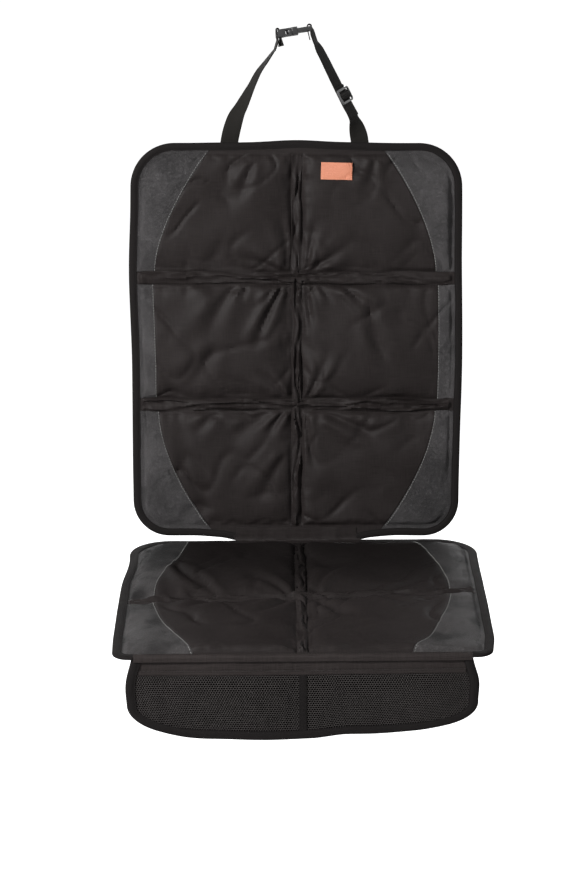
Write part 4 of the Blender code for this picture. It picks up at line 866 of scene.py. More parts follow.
def quilt_pieces(quilt, face_name, cells, prefix):
    """Face cloth, corner patches and foam pads of one panel."""
    grid, flat = quilt.points(), quilt.flat_uv()
    left, right = quilt.seam_col, quilt.cols - 1 - quilt.seam_col
    field = quilt.tiles(lambda zone, col: (zone[0] == "channel") | ((col >= left) & (col < right)))
    # The seat takes the copies with painted shade towards the rear
    face_finish, patch_finish = (SEAT_OXFORD_PAINTED_SHADE, SEAT_PATCH_PAINTED_SHADE) if prefix == "seat" else (OXFORD, PATCH)
    face = cloth(face_name, grid, field, CLOTH, face_finish, flat, FIT_GAP / 2)
    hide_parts(face_name)
    quilt.area(field)
    for number, row in enumerate(cells):
        for hand, side in (("left", -1), ("right", 1)):
            name = f"{prefix}_patch_{row}_{hand}"
            if side < 0:
                keep = quilt.tiles(lambda zone, col: (zone == ("cell", number)) & (col < left))
            else:
                keep = quilt.tiles(lambda zone, col: (zone == ("cell", number)) & (col >= right))
            patch = cloth(name, grid, keep, CLOTH, patch_finish, flat, FIT_GAP / 2)
            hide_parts(name)
            quilt.area(keep)
            foam_pad(quilt, f"{prefix}_foam_{row}_{hand}", number, side)


def foam_pad(quilt, name, number, side):
    """One foam pad: its crowned top under the face cloth, its flat bottom over the backing."""
    rows = [k for k in range(len(quilt.rows) - 1) if quilt.zone[k] == ("cell", number)]
    sunk = quilt.H.copy()
    for shift in range(-3, 4):
        sunk = np.minimum(sunk, np.roll(quilt.H, shift, axis=0))
    for shift in range(-3, 4):
        sunk = np.minimum(sunk, np.roll(sunk, shift, axis=1))
    picked = list(range(rows[0], rows[-1] + 2, 3))
    columns = list(range(4, quilt.spine_col + 1, 3)) if side < 0 else list(
        range(quilt.cols - 1 - quilt.spine_col, quilt.cols - 4, 3)
    )
    u, v, h = (a[np.ix_(picked, columns)] for a in (quilt.U, quilt.V, sunk))
    clear = quilt.near[np.ix_(picked, columns)] > 0.005
    keep = clear[:-1, :-1] & clear[1:, :-1] & clear[:-1, 1:] & clear[1:, 1:]
    h = np.maximum(h - CLOTH - 0.0026, PAD_BOTTOM + 0.0005)
    real_u, real_v = quilt.stray(u, v)
    top = quilt.plane.place(real_u, real_v, h)
    under = quilt.plane.place(real_u, real_v, np.full_like(h, PAD_BOTTOM))
    pad = slab(name, top, under, keep, FOAM, np.stack([u, v], axis=-1))
    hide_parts(name)


def backing_sheet(quilt, name):
    """The lower cloth, flat, lifted at its border."""
    rows = np.arange(0, len(quilt.rows), 2)
    if rows[-1] != len(quilt.rows) - 1:
        rows = np.append(rows, len(quilt.rows) - 1)
    cols = np.arange(0, quilt.cols, 2)
    u, v = quilt.U[np.ix_(rows, cols)], quilt.V[np.ix_(rows, cols)]
    margin = quilt.margin(u, v)
    low = EDGE_LIFT * (1.0 - ease((margin + 0.0012) / 0.0022))
    grid = quilt.plane.place(u, quilt.slip(u, v), low + CLOTH)
    keep = np.ones((len(rows) - 1, len(cols) - 1), bool)
    flat = np.stack([u, quilt.slip(u, v)], axis=-1)
    made = cloth(name, grid, keep, CLOTH, BACKING, flat)
    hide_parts(name)


# Tapes and hems
def corner_points(quilt, side, top, steps=18):
    radius = quilt.high_radius if top else quilt.low_radius
    turn = 1.0 if top else -1.0
    centre = quilt.high - radius if top else quilt.low + radius
    angle = np.linspace(0.0, math.pi / 2, steps + 1)
    u = side * (quilt.half - radius + radius * np.cos(angle))
    return np.stack([u, centre + turn * radius * np.sin(angle)], axis=-1)


def fill_path(points, step=0.005):
    """Points along a path with no gap longer than step."""
    found = [points[0]]
    for k in range(1, len(points)):
        run = points[k] - points[k - 1]
        parts = max(int(math.ceil(np.linalg.norm(run) / step)), 1)
        found += [points[k - 1] + run * j / parts for j in range(1, parts + 1)]
    return np.array(found)


def path_frames(path):
    """Direction along, mitred outward direction and length so far of a flat path."""
    run = np.diff(path, axis=0)
    unit = run / np.maximum(np.linalg.norm(run, axis=1, keepdims=True), TINY)
    first = np.concatenate([unit[:1], unit])
    second = np.concatenate([unit, unit[-1:]])
    along = first + second
    along /= np.linalg.norm(along, axis=1, keepdims=True)
    stretch = 1.0 / np.maximum((along * first).sum(axis=1), 0.6)
    outward = np.stack([-along[:, 1], along[:, 0]], axis=-1) * stretch[:, None]
    length = np.concatenate([[0.0], np.cumsum(np.linalg.norm(run, axis=1))])
    return outward, length


def wrap_section(lap, under, over, thick, seed, length):
    """Folded tape sections along a path: rounded at the fold, pinched at its stitched line."""
    middle, reach = (over + under) / 2, FIT_GAP
    fold = (over - under) / 2
    sections, shares = [], (0.0, 0.06, 0.14, 0.24, 0.45, 0.7, 1.0)
    inner_u = [-lap + (lap + reach - fold * 0.3) * share for share in shares + shares[::-1]]
    inner_h = [over] * len(shares) + [under] * len(shares)
    wave = 0.5 + 0.5 * noise(length / 0.011, np.zeros_like(length), seed)
    for k in range(len(length)):
        edge = -lap - 0.0006 * float(noise(np.array(length[k] / 0.03), np.array(1.5), seed + 1))
        puff = 0.0006 + 0.0007 * wave[k]
        top = []
        for share in (0.0, 0.06, 0.14, 0.24, 0.45, 0.7, 0.9):
            pinch = 0.0002 if 0.05 < share < 0.2 else 0.0
            lift = puff * math.sin(math.pi * min(max((share - 0.14) / 0.86, 0.0), 1.0)) ** 0.8
            top.append((edge + (lap + reach) * share, over + thick - pinch * 0.5 + lift))
        bend = []
        for angle in (60, 30, 0, -30, -60):
            turn = math.radians(angle)
            bend.append(
                (reach + (thick + fold * 0.25) * math.cos(turn), middle + (fold + thick) * math.sin(turn))
            )
        low = [
            (edge + (lap + reach) * share, under - thick) for share in (0.9, 0.7, 0.45, 0.24, 0.14, 0.06, 0.0)
        ]
        ring = [(edge if j in (0, 13) else iu, ih) for j, (iu, ih) in enumerate(zip(inner_u, inner_h))]
        sections.append(ring + low[::-1] + bend[::-1] + top[::-1])
    return np.array(sections)


def wrap_tape(name, plane, path, lap, under, over, seed, shape=None):
    """A tape folded round an edge, following the panel's outline."""
    path = fill_path(path)
    outward, length = path_frames(path)
    path = path + outward * (0.0006 * noise(length / 0.08, np.zeros_like(length), seed + 2))[:, None]
    if shape:
        path[:, 1] += shape(path[:, 0], path[:, 1])
    section = wrap_section(lap, under, over, TAPE, seed, length)
    u = path[:, None, 0] + outward[:, None, 0] * section[..., 0]
    v = path[:, None, 1] + outward[:, None, 1] * section[..., 0]
    points = plane.place(u, v, section[..., 1])
    size = section.shape[1]
    around = np.linspace(0.0, 2 * lap + 0.006, size)
    uv = np.stack(np.broadcast_arrays(length[:, None], around[None, :]), axis=-1)
    made = sweep(name, points, TAPE_CLOTH, uv)
    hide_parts(name)
    seam_u = path[:, 0] + outward[:, 0] * (-lap + 0.0022)
    seam_v = path[:, 1] + outward[:, 1] * (-lap + 0.0022)
    return plane.place(seam_u, seam_v, np.full(len(path), over + TAPE + 0.0001))


def flat_tape(name, plane, path, width, over, seed, material=None, thick=TAPE):
    """A narrow tape lying on a surface, a little crowned."""
    path = fill_path(np.array(path, float), 0.004)
    outward, length = path_frames(path)
    half = width / 2
    share = np.array([-1.0, -0.9, -0.6, 0.0, 0.6, 0.9, 1.0])
    top = over + thick * (1.0 - 0.35 * np.abs(share) ** 4)
    wave = 0.00015 * noise(length / 0.008, np.zeros_like(length), seed)
    o = np.concatenate([share * half, [half, -half]])
    h = np.concatenate([top, [over, over]])
    lift = np.concatenate([np.ones(7), [0.0, 0.0]])
    u = path[:, None, 0] + outward[:, None, 0] * o
    v = path[:, None, 1] + outward[:, None, 1] * o
    points = plane.place(u, v, h[None, :] + np.maximum(wave[:, None], 0.0) * lift)
    uv = np.stack(np.broadcast_arrays(length[:, None], o[None, :]), axis=-1)
    made = sweep(name, points, material or TAPE_CLOTH, uv)
    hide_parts(name)
    lines = []
    for edge in (-half + 0.0012, half - 0.0012):
        lines.append(
            plane.place(
                path[:, 0] + outward[:, 0] * edge, path[:, 1] + outward[:, 1] * edge,
                np.full(len(path), over + thick)
            )
        )
    return lines


def back_edge(u, v):
    """How the long edges of the back stray: a peak over the spine and a sag towards the neck."""
    peak = 0.0032 * bell(u, 0.045) * (v > BACK_HEIGHT - 0.02)
    sag = (
        0.0040 * ease((0.150 - np.abs(u)) / 0.060) + 0.0036 * bell(np.abs(u) - NECK_WIDTH / 2, 0.012)
    ) * (v < 0.02)
    return peak - sag


# Stitches by Geometry Nodes
def stitch_tree():
    tree = bpy.data.node_groups.new("stitch_row", "GeometryNodeTree")
    face = tree.interface
    face.new_socket("Geometry", in_out="INPUT", socket_type="NodeSocketGeometry")
    for label, value in (("Pitch", STITCH_PITCH), ("Length", STITCH_LENGTH), ("Radius", STITCH_RADIUS)):
        face.new_socket(label, in_out="INPUT", socket_type="NodeSocketFloat").default_value = value
    face.new_socket("Thread", in_out="INPUT", socket_type="NodeSocketMaterial")
    face.new_socket("Geometry", in_out="OUTPUT", socket_type="NodeSocketGeometry")
    given, result = tree.nodes.new("NodeGroupInput"), tree.nodes.new("NodeGroupOutput")
    curve = add(tree, "GeometryNodeMeshToCurve", {0: given.outputs["Geometry"]})
    spaced = add(
        tree, "GeometryNodeResampleCurve", {"Curve": curve.outputs[0], "Length": given.outputs["Pitch"]},
        mode="LENGTH"
    )
    ball = add(tree, "GeometryNodeMeshUVSphere", {"Segments": 6, "Rings": 3, "Radius": 1.0})
    half = add(tree, "ShaderNodeMath", {0: given.outputs["Length"], 1: 0.5}, operation="MULTIPLY")
    scale = add(
        tree, "ShaderNodeCombineXYZ",
        {0: given.outputs["Radius"], 1: given.outputs["Radius"], 2: half.outputs[0]}
    )
    shaped = add(tree, "GeometryNodeTransform", {"Geometry": ball.outputs[0], "Scale": scale.outputs[0]})
    smooth = add(tree, "GeometryNodeSetShadeSmooth", {0: shaped.outputs[0]})
    tangent = tree.nodes.new("GeometryNodeInputTangent")
    turn = add(tree, "FunctionNodeAlignEulerToVector", {"Vector": tangent.outputs[0]}, axis="Z")
    placed = add(
        tree, "GeometryNodeInstanceOnPoints",
        {"Points": spaced.outputs[0], "Instance": smooth.outputs[0], "Rotation": turn.outputs[0]}
    )
    real = add(tree, "GeometryNodeRealizeInstances", {0: placed.outputs[0]})
    painted = add(
        tree, "GeometryNodeSetMaterial", {"Geometry": real.outputs[0], "Material": given.outputs["Thread"]}
    )
    tree.links.new(painted.outputs[0], result.inputs[0])
    return tree


STITCH_TREE = stitch_tree()


def set_input(modifier, label, value):
    for item in modifier.node_group.interface.items_tree:
        if item.item_type == "SOCKET" and item.in_out == "INPUT" and item.name == label:
            modifier[item.identifier] = value


def baked(name, points, edges, faces, tree, values):
    """Run a tree on a mesh and keep the result as a plain mesh."""
    mesh = bpy.data.meshes.new(f"{name}_guide")
    mesh.from_pydata(points, edges, faces)
    guide = link(f"{name}_guide", mesh)
    modifier = guide.modifiers.new("rule", "NODES")
    modifier.node_group = tree
    for label, value in values.items():
        set_input(modifier, label, value)
    plain = after_modifiers(guide)
    bpy.data.objects.remove(guide, do_unlink=True)
    plain.name = name
    made = link(name, plain)
    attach(made, "root")
    return made


def stitches(name, lines, thread, pitch=STITCH_PITCH, length=STITCH_LENGTH, radius=STITCH_RADIUS):
    points, edges = [], []
    for line in lines:
        start = len(points)
        points += [tuple(p) for p in np.asarray(line)]
        edges += [(start + k, start + k + 1) for k in range(len(line) - 1)]
    return baked(
        name, points, edges, [], STITCH_TREE,
        {"Pitch": pitch, "Length": length, "Radius": radius, "Thread": thread}
    )


# Flap and net pockets
def flap_side(v):
    share = np.clip(-v / (FLAP_HEIGHT - FLAP_CORNER_RISE), 0.0, 1.0)
    return (FLAP_TOP_WIDTH + (FLAP_WIDTH - FLAP_TOP_WIDTH) * share) / 2


def flap_low(u):
    past = np.maximum(np.abs(u) - (FLAP_WIDTH / 2 - FLAP_CORNER_RUN), 0.0) / FLAP_CORNER_RUN
    return -FLAP_HEIGHT + FLAP_CORNER_RISE * (1.0 - np.sqrt(np.maximum(1.0 - past**2, 0.0)))


def flap_path(steps=16):
    top, widest = EDGE_LIFT - FIT_GAP, -FLAP_HEIGHT + FLAP_CORNER_RISE
    angle = np.linspace(0.0, math.pi / 2, steps + 1)[1:]
    u = FLAP_WIDTH / 2 - FLAP_CORNER_RUN * (1.0 - np.cos(angle))
    v = widest - FLAP_CORNER_RISE * np.sin(angle)
    right = np.concatenate([[[FLAP_TOP_WIDTH / 2, top], [FLAP_WIDTH / 2, widest]], np.stack([u, v], axis=-1)])
    left = right * np.array([-1.0, 1.0])
    return np.concatenate([right, left[::-1]])


def flap_panel():
    """The hanging cloth behind the nets, with a few soft folds."""
    columns, rows = 150, 30
    share = np.linspace(-1.0, 1.0, columns + 1)
    u0 = share * (FLAP_WIDTH / 2 - CLOTH_SETBACK)
    down = graded(0.0, 1.0, rows, 0.2)
    top = EDGE_LIFT - FIT_GAP
    bottom = flap_low(u0 * 0.999) + CLOTH_SETBACK
    V = top + (bottom[None, :] - top) * down[:, None]
    limit = flap_side(V) - CLOTH_SETBACK
    U = u0[None, :] * limit / (FLAP_WIDTH / 2 - CLOTH_SETBACK)
    H = np.full_like(U, EDGE_LIFT + FLAP_PANEL)
    strip = ease((V + POCKET_DROP + 0.002) / 0.006) * ease((0.190 - np.abs(U)) / 0.02)
    H = H + strip * (
        0.0006 + 0.0007 * noise(U / 0.018, V / 0.03, 61) + 0.0006 * noise(U / 0.05, V / 0.02, 62)
    )
    fold = bell(U + 0.018 + (V + 0.008) * 0.25, 0.0030) * ease((V + POCKET_DROP) / 0.006) * 0.0016
    H = H + fold
    grid = FLAP.place(U, V, H)[::-1]
    flat = np.stack([U, V], axis=-1)[::-1]
    keep = np.ones((rows, columns), bool)
    made = cloth("flap_panel", grid, keep, FLAP_PANEL, HEM_CLOTH, flat)
    # Faces below the pocket hem take the near-black painted pocket shade
    made.data.materials.append(POCKET_PAINTED_SHADE)
    layer = made.data.uv_layers[0].data
    for face in made.data.polygons:
        if max(layer[k].uv[1] for k in face.loop_indices) < (-POCKET_DROP - 0.004) * UV_SCALE:
            face.material_index = 1
    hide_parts("flap_panel")


def net_tree():
    """Opens every face of a mesh into a ring of net; net_pocket gives it a thickness afterwards."""
    tree = bpy.data.node_groups.new("net_holes", "GeometryNodeTree")
    face = tree.interface
    face.new_socket("Geometry", in_out="INPUT", socket_type="NodeSocketGeometry")
    face.new_socket("Opening", in_out="INPUT", socket_type="NodeSocketFloat").default_value = 0.6
    face.new_socket("Thread", in_out="INPUT", socket_type="NodeSocketMaterial")
    face.new_socket("Geometry", in_out="OUTPUT", socket_type="NodeSocketGeometry")
    given, result = tree.nodes.new("NodeGroupInput"), tree.nodes.new("NodeGroupOutput")
    raised = add(
        tree, "GeometryNodeExtrudeMesh",
        {"Mesh": given.outputs["Geometry"], "Offset Scale": 0.0, "Individual": True}, mode="FACES"
    )
    drawn = add(
        tree, "GeometryNodeScaleElements",
        {
            "Geometry": raised.outputs["Mesh"], "Selection": raised.outputs["Top"],
            "Scale": given.outputs["Opening"]
        },
        domain="FACE"
    )
    opened = add(
        tree, "GeometryNodeDeleteGeometry",
        {"Geometry": drawn.outputs[0], "Selection": raised.outputs["Top"]}, domain="FACE"
    )
    painted = add(
        tree, "GeometryNodeSetMaterial", {"Geometry": opened.outputs[0], "Material": given.outputs["Thread"]}
    )
    tree.links.new(painted.outputs[0], result.inputs[0])
    return tree


NET_TREE = net_tree()


def net_height(u, v, top):
    slant = TAPE_LAP * 1.4
    free = np.minimum(v - flap_low(u) - slant, flap_side(v) - np.abs(u) - slant)
    free = np.minimum(np.minimum(free, top - HEM_WIDTH - v), np.abs(u) - POCKET_SEAM)
    bulge = POCKET_BULGE * ease(free / POCKET_BULGE_REACH)
    loose = ease(free / 0.012) * 0.0010 * (
        noise(u / 0.04, v / 0.022, 71) + 0.6 * noise(u / 0.017, v / 0.03, 72)
    )
    return EDGE_LIFT + FLAP_PANEL + FIT_GAP + POCKET_MESH + bulge + np.maximum(loose, -0.0004)


def net_pocket(side, name):
    """Six-sided holes in a slack net, over one half of the flap."""
    top = -POCKET_DROP - 0.0012
    step_u, step_v = NET_PITCH, NET_PITCH * math.sqrt(3) / 2
    rows, cols = int(FLAP_HEIGHT / step_v) + 2, int(FLAP_WIDTH / 2 / step_u) + 2
    index, points, faces = {}, [], []
    radius = NET_PITCH / math.sqrt(3)
    for row in range(rows):
        for col in range(cols):
            u = POCKET_SEAM / 2 + 0.001 + col * step_u + (step_u / 2 if row % 2 else 0.0)
            v = top - row * step_v
            if u > flap_side(np.array(v)) - 0.0045 or v < flap_low(np.array(u)) + 0.0045:
                continue
            ring = []
            for k in range(6):
                angle = math.radians(30 + 60 * k)
                cu, cv = u + radius * math.cos(angle), v + radius * math.sin(angle)
                key = (round(cu * 2e4), round(cv * 2e4))
                found = next(
                    (
                        index[(key[0] + a, key[1] + b)] for a in (0, 1, -1) for b in (0, 1, -1)
                        if (key[0] + a, key[1] + b) in index
                    ),
                    None
                )
                if found is None:
                    found = len(points)
                    index[key] = found
                    points.append((cu, cv))
                ring.append(found)
            faces.append(ring)
    flat = np.array(points)
    grid = FLAP.place(side * flat[:, 0], flat[:, 1], net_height(flat[:, 0] * side, flat[:, 1], top))
    if side < 0:
        faces = [ring[::-1] for ring in faces]
    made = baked(
        name, [tuple(p) for p in grid], [], faces, NET_TREE, {"Opening": NET_OPENING, "Thread": NET},
    )
    wall = made.modifiers.new("thickness", "SOLIDIFY")
    wall.thickness = NET_THREAD
    wall.offset = -1.0
    thick = after_modifiers(made)
    made.modifiers.remove(wall)
    made.data = thick
    where = np.empty(len(thick.vertices) * 3)
    thick.vertices.foreach_get("co", where)
    set_flat(thick, where.reshape(-1, 3)[:, [0, 2]])
    thick.shade_smooth()
    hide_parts(name)


# Front hem and neck
def hem_half():
    """Half length of the hem, which ends between the rounded front corners."""
    return min(FLAP_TOP_WIDTH, SEAT_WIDTH - 2 * SEAT_RADII[0]) / 2 + TAPE


def front_hem():
    """The cloth folded over the front edge, a little puffed over its stitched row."""
    half = hem_half() + FIT_GAP
    along = np.linspace(-half, half, 150)
    lap, over, drop = FRONT_HEM_LAP, TAPE_OVER, 0.003
    sections = []
    for u in along:
        puff = 0.0009 + 0.0008 * float(noise(np.array(u / 0.014), np.array(0.3), 51)) + 0.0006 * float(
            noise(np.array(u / 0.05), np.array(2.3), 52)
        )
        slack = 0.0006 * float(noise(np.array(u / 0.022), np.array(5.3), 53))
        outer = []
        for share in (0.0, 0.05, 0.12, 0.20, 0.28, 0.40, 0.55, 0.70, 0.85):
            bump = puff * math.sin(math.pi * min(max((share - 0.24) / 0.76, 0.0), 1.0))
            bump += 0.0007 * math.sin(math.pi * min(share / 0.22, 1.0))
            outer.append((lap * (1.0 - share) - slack * (share == 0.0), over + CLOTH + bump))
        outer += [
            (0.0010, over + CLOTH + 0.0003), (-0.0006, over + 0.0002), (-0.0011, over - 0.0012),
            (-0.0011, 0.001), (-0.0011, -drop)
        ]
        inner = [(-FIT_GAP, -drop), (-FIT_GAP, over), (lap - slack, over)]
        sections.append([(u, d, h) for d, h in outer + inner])
    sections = np.array(sections)
    low = -SEAT_DEPTH / 2
    points = SEAT.place(sections[..., 0], low + sections[..., 1], sections[..., 2])
    around = np.concatenate([[0.0], np.cumsum(np.linalg.norm(np.diff(sections[0], axis=0), axis=1))])
    uv = np.stack(np.broadcast_arrays(along[:, None], around[None, :]), axis=-1)
    made = sweep("seat_front_hem", points, HEM_CLOTH, uv)
    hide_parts("seat_front_hem")
    row = SEAT.place(along, np.full_like(along, low + lap * 0.76), np.full_like(along, over + CLOTH + 0.0001))
    second = SEAT.place(
        along, np.full_like(along, low + lap - 0.0018), np.full_like(along, over + CLOTH + 0.0004)
    )
    return [row, second]


def neck():
    """The doubled strip between back and seat, gathered a little across its width."""
    steps, columns = 26, 90
    reach = NECK_WIDTH / 2 + 0.0011
    u = np.linspace(-reach, reach, columns + 1)
    wider = 0.0044 * u / reach * ease((np.abs(u) - reach * 0.8) / (reach * 0.2))
    over = TAPE_OVER
    start = SEAT.place(u, SEAT_DEPTH / 2 - NECK_LAP, over)
    turn = SEAT.place(u, SEAT_DEPTH / 2 - NECK_LAP / 2, over)
    end_turn = BACK.place(u, 0.001, over)
    end = BACK.place(u, NECK_LAP, over)
    corner = np.stack([(turn[:, 0] + end_turn[:, 0]) / 2, end_turn[:, 1], np.full_like(u, over)], axis=-1)
    rows = [start + (turn - start) * k / 4 for k in range(4)]
    for k in range(steps + 1):
        t = k / steps
        row = (1 - t) ** 2 * turn + 2 * t * (1 - t) * corner + t**2 * end_turn
        row[:, 0] += wider * float(ease(np.array(t / 0.2)) * ease(np.array((1.03 - t) / 0.12)))
        rows.append(row)
    rows += [end_turn + (end - end_turn) * k / 4 for k in range(1, 5)]
    grid = np.array(rows)
    out = normals_of(grid)
    out *= np.where(out[..., 2:3] < 0, -1.0, 1.0) if out[len(rows) // 2, columns // 2, 2] < 0 else 1.0
    share = np.linspace(0.0, 1.0, len(rows))[:, None]
    free = np.sin(math.pi * share) ** 0.6
    crease = noise(u[None, :] / 0.009, share * 1.4, 81) * 0.7 + noise(
        u[None, :] / 0.024, share * 1.2, 82
    ) * 0.8
    grid = grid + out * (NECK_THICK + np.maximum(free * (0.0006 + 0.0010 * crease), 0.0))[..., None]
    flat = np.stack(np.broadcast_arrays(u[None, :], share * 0.045), axis=-1)
    keep = np.ones((len(rows) - 1, columns), bool)
    made = cloth("neck_strip", grid, keep, NECK_THICK, OXFORD, flat)
    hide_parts("neck_strip")
    return [grid[2], grid[-3]]


# Straps, slide and buckle
def buckle_frame():
    centre = Vector(
        BACK.place(np.array(BUCKLE_X), np.array(BACK_HEIGHT + LOOP_HEIGHT), np.array(EDGE_TOP / 2))
    )
    return centre, Matrix.Rotation(BUCKLE_PITCH, 3, "X") @ Matrix.Rotation(BUCKLE_TILT, 3, "Y")


def buckle_point(along, across, up):
    centre, turn = buckle_frame()
    return centre + turn @ Vector((along, across, up))


def bar_loop(bar_outer, bar_inner, high, tail):
    clear = FIT_GAP + WEBBING / 2
    away = 1.0 if bar_outer > bar_inner else -1.0
    outer, inner = bar_outer + away * clear, bar_inner - away * clear
    middle, radius = (outer + inner) / 2, abs(outer - inner) / 2
    route = [buckle_point(outer, 0.0, h) for h in (-high - 0.004, -high * 0.5, 0.0, high * 0.6)]
    for k in range(15):
        angle = math.pi * k / 14
        route.append(
            buckle_point(middle + away * radius * math.cos(angle), 0.0, high + radius * math.sin(angle))
        )
    route += [buckle_point(inner, 0.0, h) for h in (high * 0.5, 0.0, -high * 0.5, -high)]
    route += [buckle_point(inner + away * 0.3 * radius * s, 0.0, -high - tail * s) for s in (0.35, 0.7, 1.0)]
    return route


def smooth_path(points, steps):
    found = []
    padded = [points[0]] + points + [points[-1]]
    for k in range(1, len(padded) - 2):
        p0, p1, p2, p3 = padded[k - 1 : k + 3]
        for j in range(steps):
            t = j / steps
            first, second = (p2 - p0) * t, (2 * p0 - 5 * p1 + 4 * p2 - p3) * t**2
            found.append(0.5 * (2 * p1 + first + second + (3 * p1 - p0 - 3 * p2 + p3) * t**3))
    found.append(points[-1])
    return found


def strap_shape(side):
    _, turn = buckle_frame()
    across = turn @ Vector((0.0, 1.0, 0.0)) * side
    shares, degrees = zip(*(LEFT_TURNS if side < 0 else RIGHT_TURNS))
    tail_turn = LEFT_TAIL_TURN if side < 0 else RIGHT_TAIL_TURN
    if side < 0:
        loop = bar_loop(-SOCKET_LENGTH, -SOCKET_LENGTH + SOCKET_BAR, BUCKLE_THICK / 2, TAIL_LENGTH)
        start_x = LEFT_FOOT
    else:
        loop = bar_loop(
            PLUG_LENGTH, PLUG_LENGTH - BAR_THICK, BUCKLE_THICK / 2 - SOCKET_WALL - FIT_GAP * 2, TAIL_LENGTH
        )
        start_x = RIGHT_FOOT
    behind = -WEBBING / 2 - FIT_GAP
    chosen = [(start_x, BACK_HEIGHT - STRAP_BEHIND, behind), (start_x, BACK_HEIGHT, behind)]
    for rise in STRAP_RISES:
        chosen.append(
            (start_x - side * (0.008 + 0.50 * (rise - STRAP_RISES[0])), BACK_HEIGHT + rise, behind / 2)
        )
    points = [Vector(BACK.place(*(np.array(x) for x in p))) for p in chosen]
    points.append(loop[0] + Vector((side * 0.004, 0.0, -0.012)))
    if side < 0:
        points[-2] = points[-3].lerp(points[-1], 0.5)
    route = smooth_path(points, STRAP_STEPS)
    ways = []
    for k in range(len(route)):
        angle = math.radians(float(np.interp(k / (len(route) - 1), shares, degrees)))
        ways.append(Vector((math.cos(angle), 0.0, 0.0)) + across * math.sin(angle))
    count, full = len(loop), degrees[-1]
    loop_ways = []
    for k in range(count):
        angle = math.radians(float(np.interp(k, (0, 4, count - 5, count - 1), (full, 90.0, 90.0, tail_turn))))
        loop_ways.append(Vector((math.cos(angle), 0.0, 0.0)) + across * math.sin(angle))
    return route, ways, loop, loop_ways


def webbing(name, route, ways):
    """A woven strap along a route, with rolled edges."""
    half, thick = WEBBING_WIDTH / 2, WEBBING / 2
    ring = [
        (-1.0, 0.0), (-0.985, -0.7), (-0.94, -1.0), (-0.5, -0.9), (0.0, -0.86), (0.5, -0.9), (0.94, -1.0),
        (0.985, -0.7)
    ]
    ring += [(-a, -b) for a, b in ring]
    sections, length = [], [0.0]
    for k, point in enumerate(route):
        along = (route[min(k + 1, len(route) - 1)] - route[max(k - 1, 0)]).normalized()
        way = (ways[k] - along * ways[k].dot(along)).normalized()
        out = along.cross(way).normalized()
        sections.append([tuple(point + way * half * a + out * thick * b) for a, b in ring])
        if k:
            length.append(length[-1] + (point - route[k - 1]).length)
    across = np.array([a * half for a, _ in ring])
    uv = np.stack(np.broadcast_arrays(np.array(length)[:, None], across[None, :]), axis=-1)
    made = sweep(name, np.array(sections), WEB, uv)
    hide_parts(name)
    return made


def strap_side(route, ways, k):
    along = (route[k + 1] - route[k - 1]).normalized()
    way = (ways[k] - along * ways[k].dot(along)).normalized()
    out = along.cross(way).normalized()
    return along, way, -out if out.y > 0 else out


def loose_end():
    route, ways, _, _ = strap_shape(1.0)
    k = 3 * STRAP_STEPS + STRAP_STEPS // 2
    along, way, out = strap_side(route, ways, k)
    centre = route[k]
    base = WEBBING / 2 + FIT_GAP + WEBBING + FIT_GAP
    rest, over, half = WEBBING + FIT_GAP, base + SLIDE_THICK + FIT_GAP + WEBBING / 2, SLIDE_LENGTH / 2
    outside, inside, shoulder = half + 0.004, half - 0.004, SLIDE_BAR / 2 + WEBBING / 2
    knots = [(-outside, rest), (-inside, rest), (-shoulder, over - 0.0002), (0.0, over)]
    knots += [(-a, h) for a, h in knots[:-1]][::-1]
    over_bar = smooth_path([centre + along * a + out * h for a, h in knots], 4)
    below = []
    for j in range(2, len(route) - 1):
        distance = (route[j] - centre).dot(along)
        if -half - 0.022 < distance < -outside - 0.002:
            _, side, lift = strap_side(route, ways, j)
            below.append((route[j] + lift * rest, side))
    path = [p for p, _ in below] + over_bar
    webbing("strap_loose_end", path, [s for _, s in below] + [way] * len(over_bar))


def moulded(name, material, width, segments=3):
    """A moulded piece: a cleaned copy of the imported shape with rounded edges."""
    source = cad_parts[name]
    mesh = source.data.copy()
    mesh.name = name + "_moulded"
    shaped = bmesh.new()
    shaped.from_mesh(mesh)
    bmesh.ops.remove_doubles(shaped, verts=shaped.verts, dist=1e-6)
    bmesh.ops.dissolve_limit(shaped, angle_limit=math.radians(1.0), verts=shaped.verts, edges=shaped.edges)
    shaped.to_mesh(mesh)
    shaped.free()
    mesh.materials.clear()
    mesh.materials.append(material)
    made = link(name + "_moulded", mesh)
    made.matrix_world = source.matrix_world
    round_edges = made.modifiers.new("edges", "BEVEL")
    round_edges.width = width
    round_edges.segments = segments
    round_edges.limit_method = "ANGLE"
    round_edges.angle_limit = math.radians(30.0)
    baked_mesh = after_modifiers(made)
    baked_mesh.transform(made.matrix_world)
    made.modifiers.remove(round_edges)
    made.data = baked_mesh
    made.matrix_world = Matrix.Identity(4)
    baked_mesh.shade_smooth()
    baked_mesh.set_sharp_from_angle(angle=math.radians(35.0))
    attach(made, "root")
    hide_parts(name)
    return made


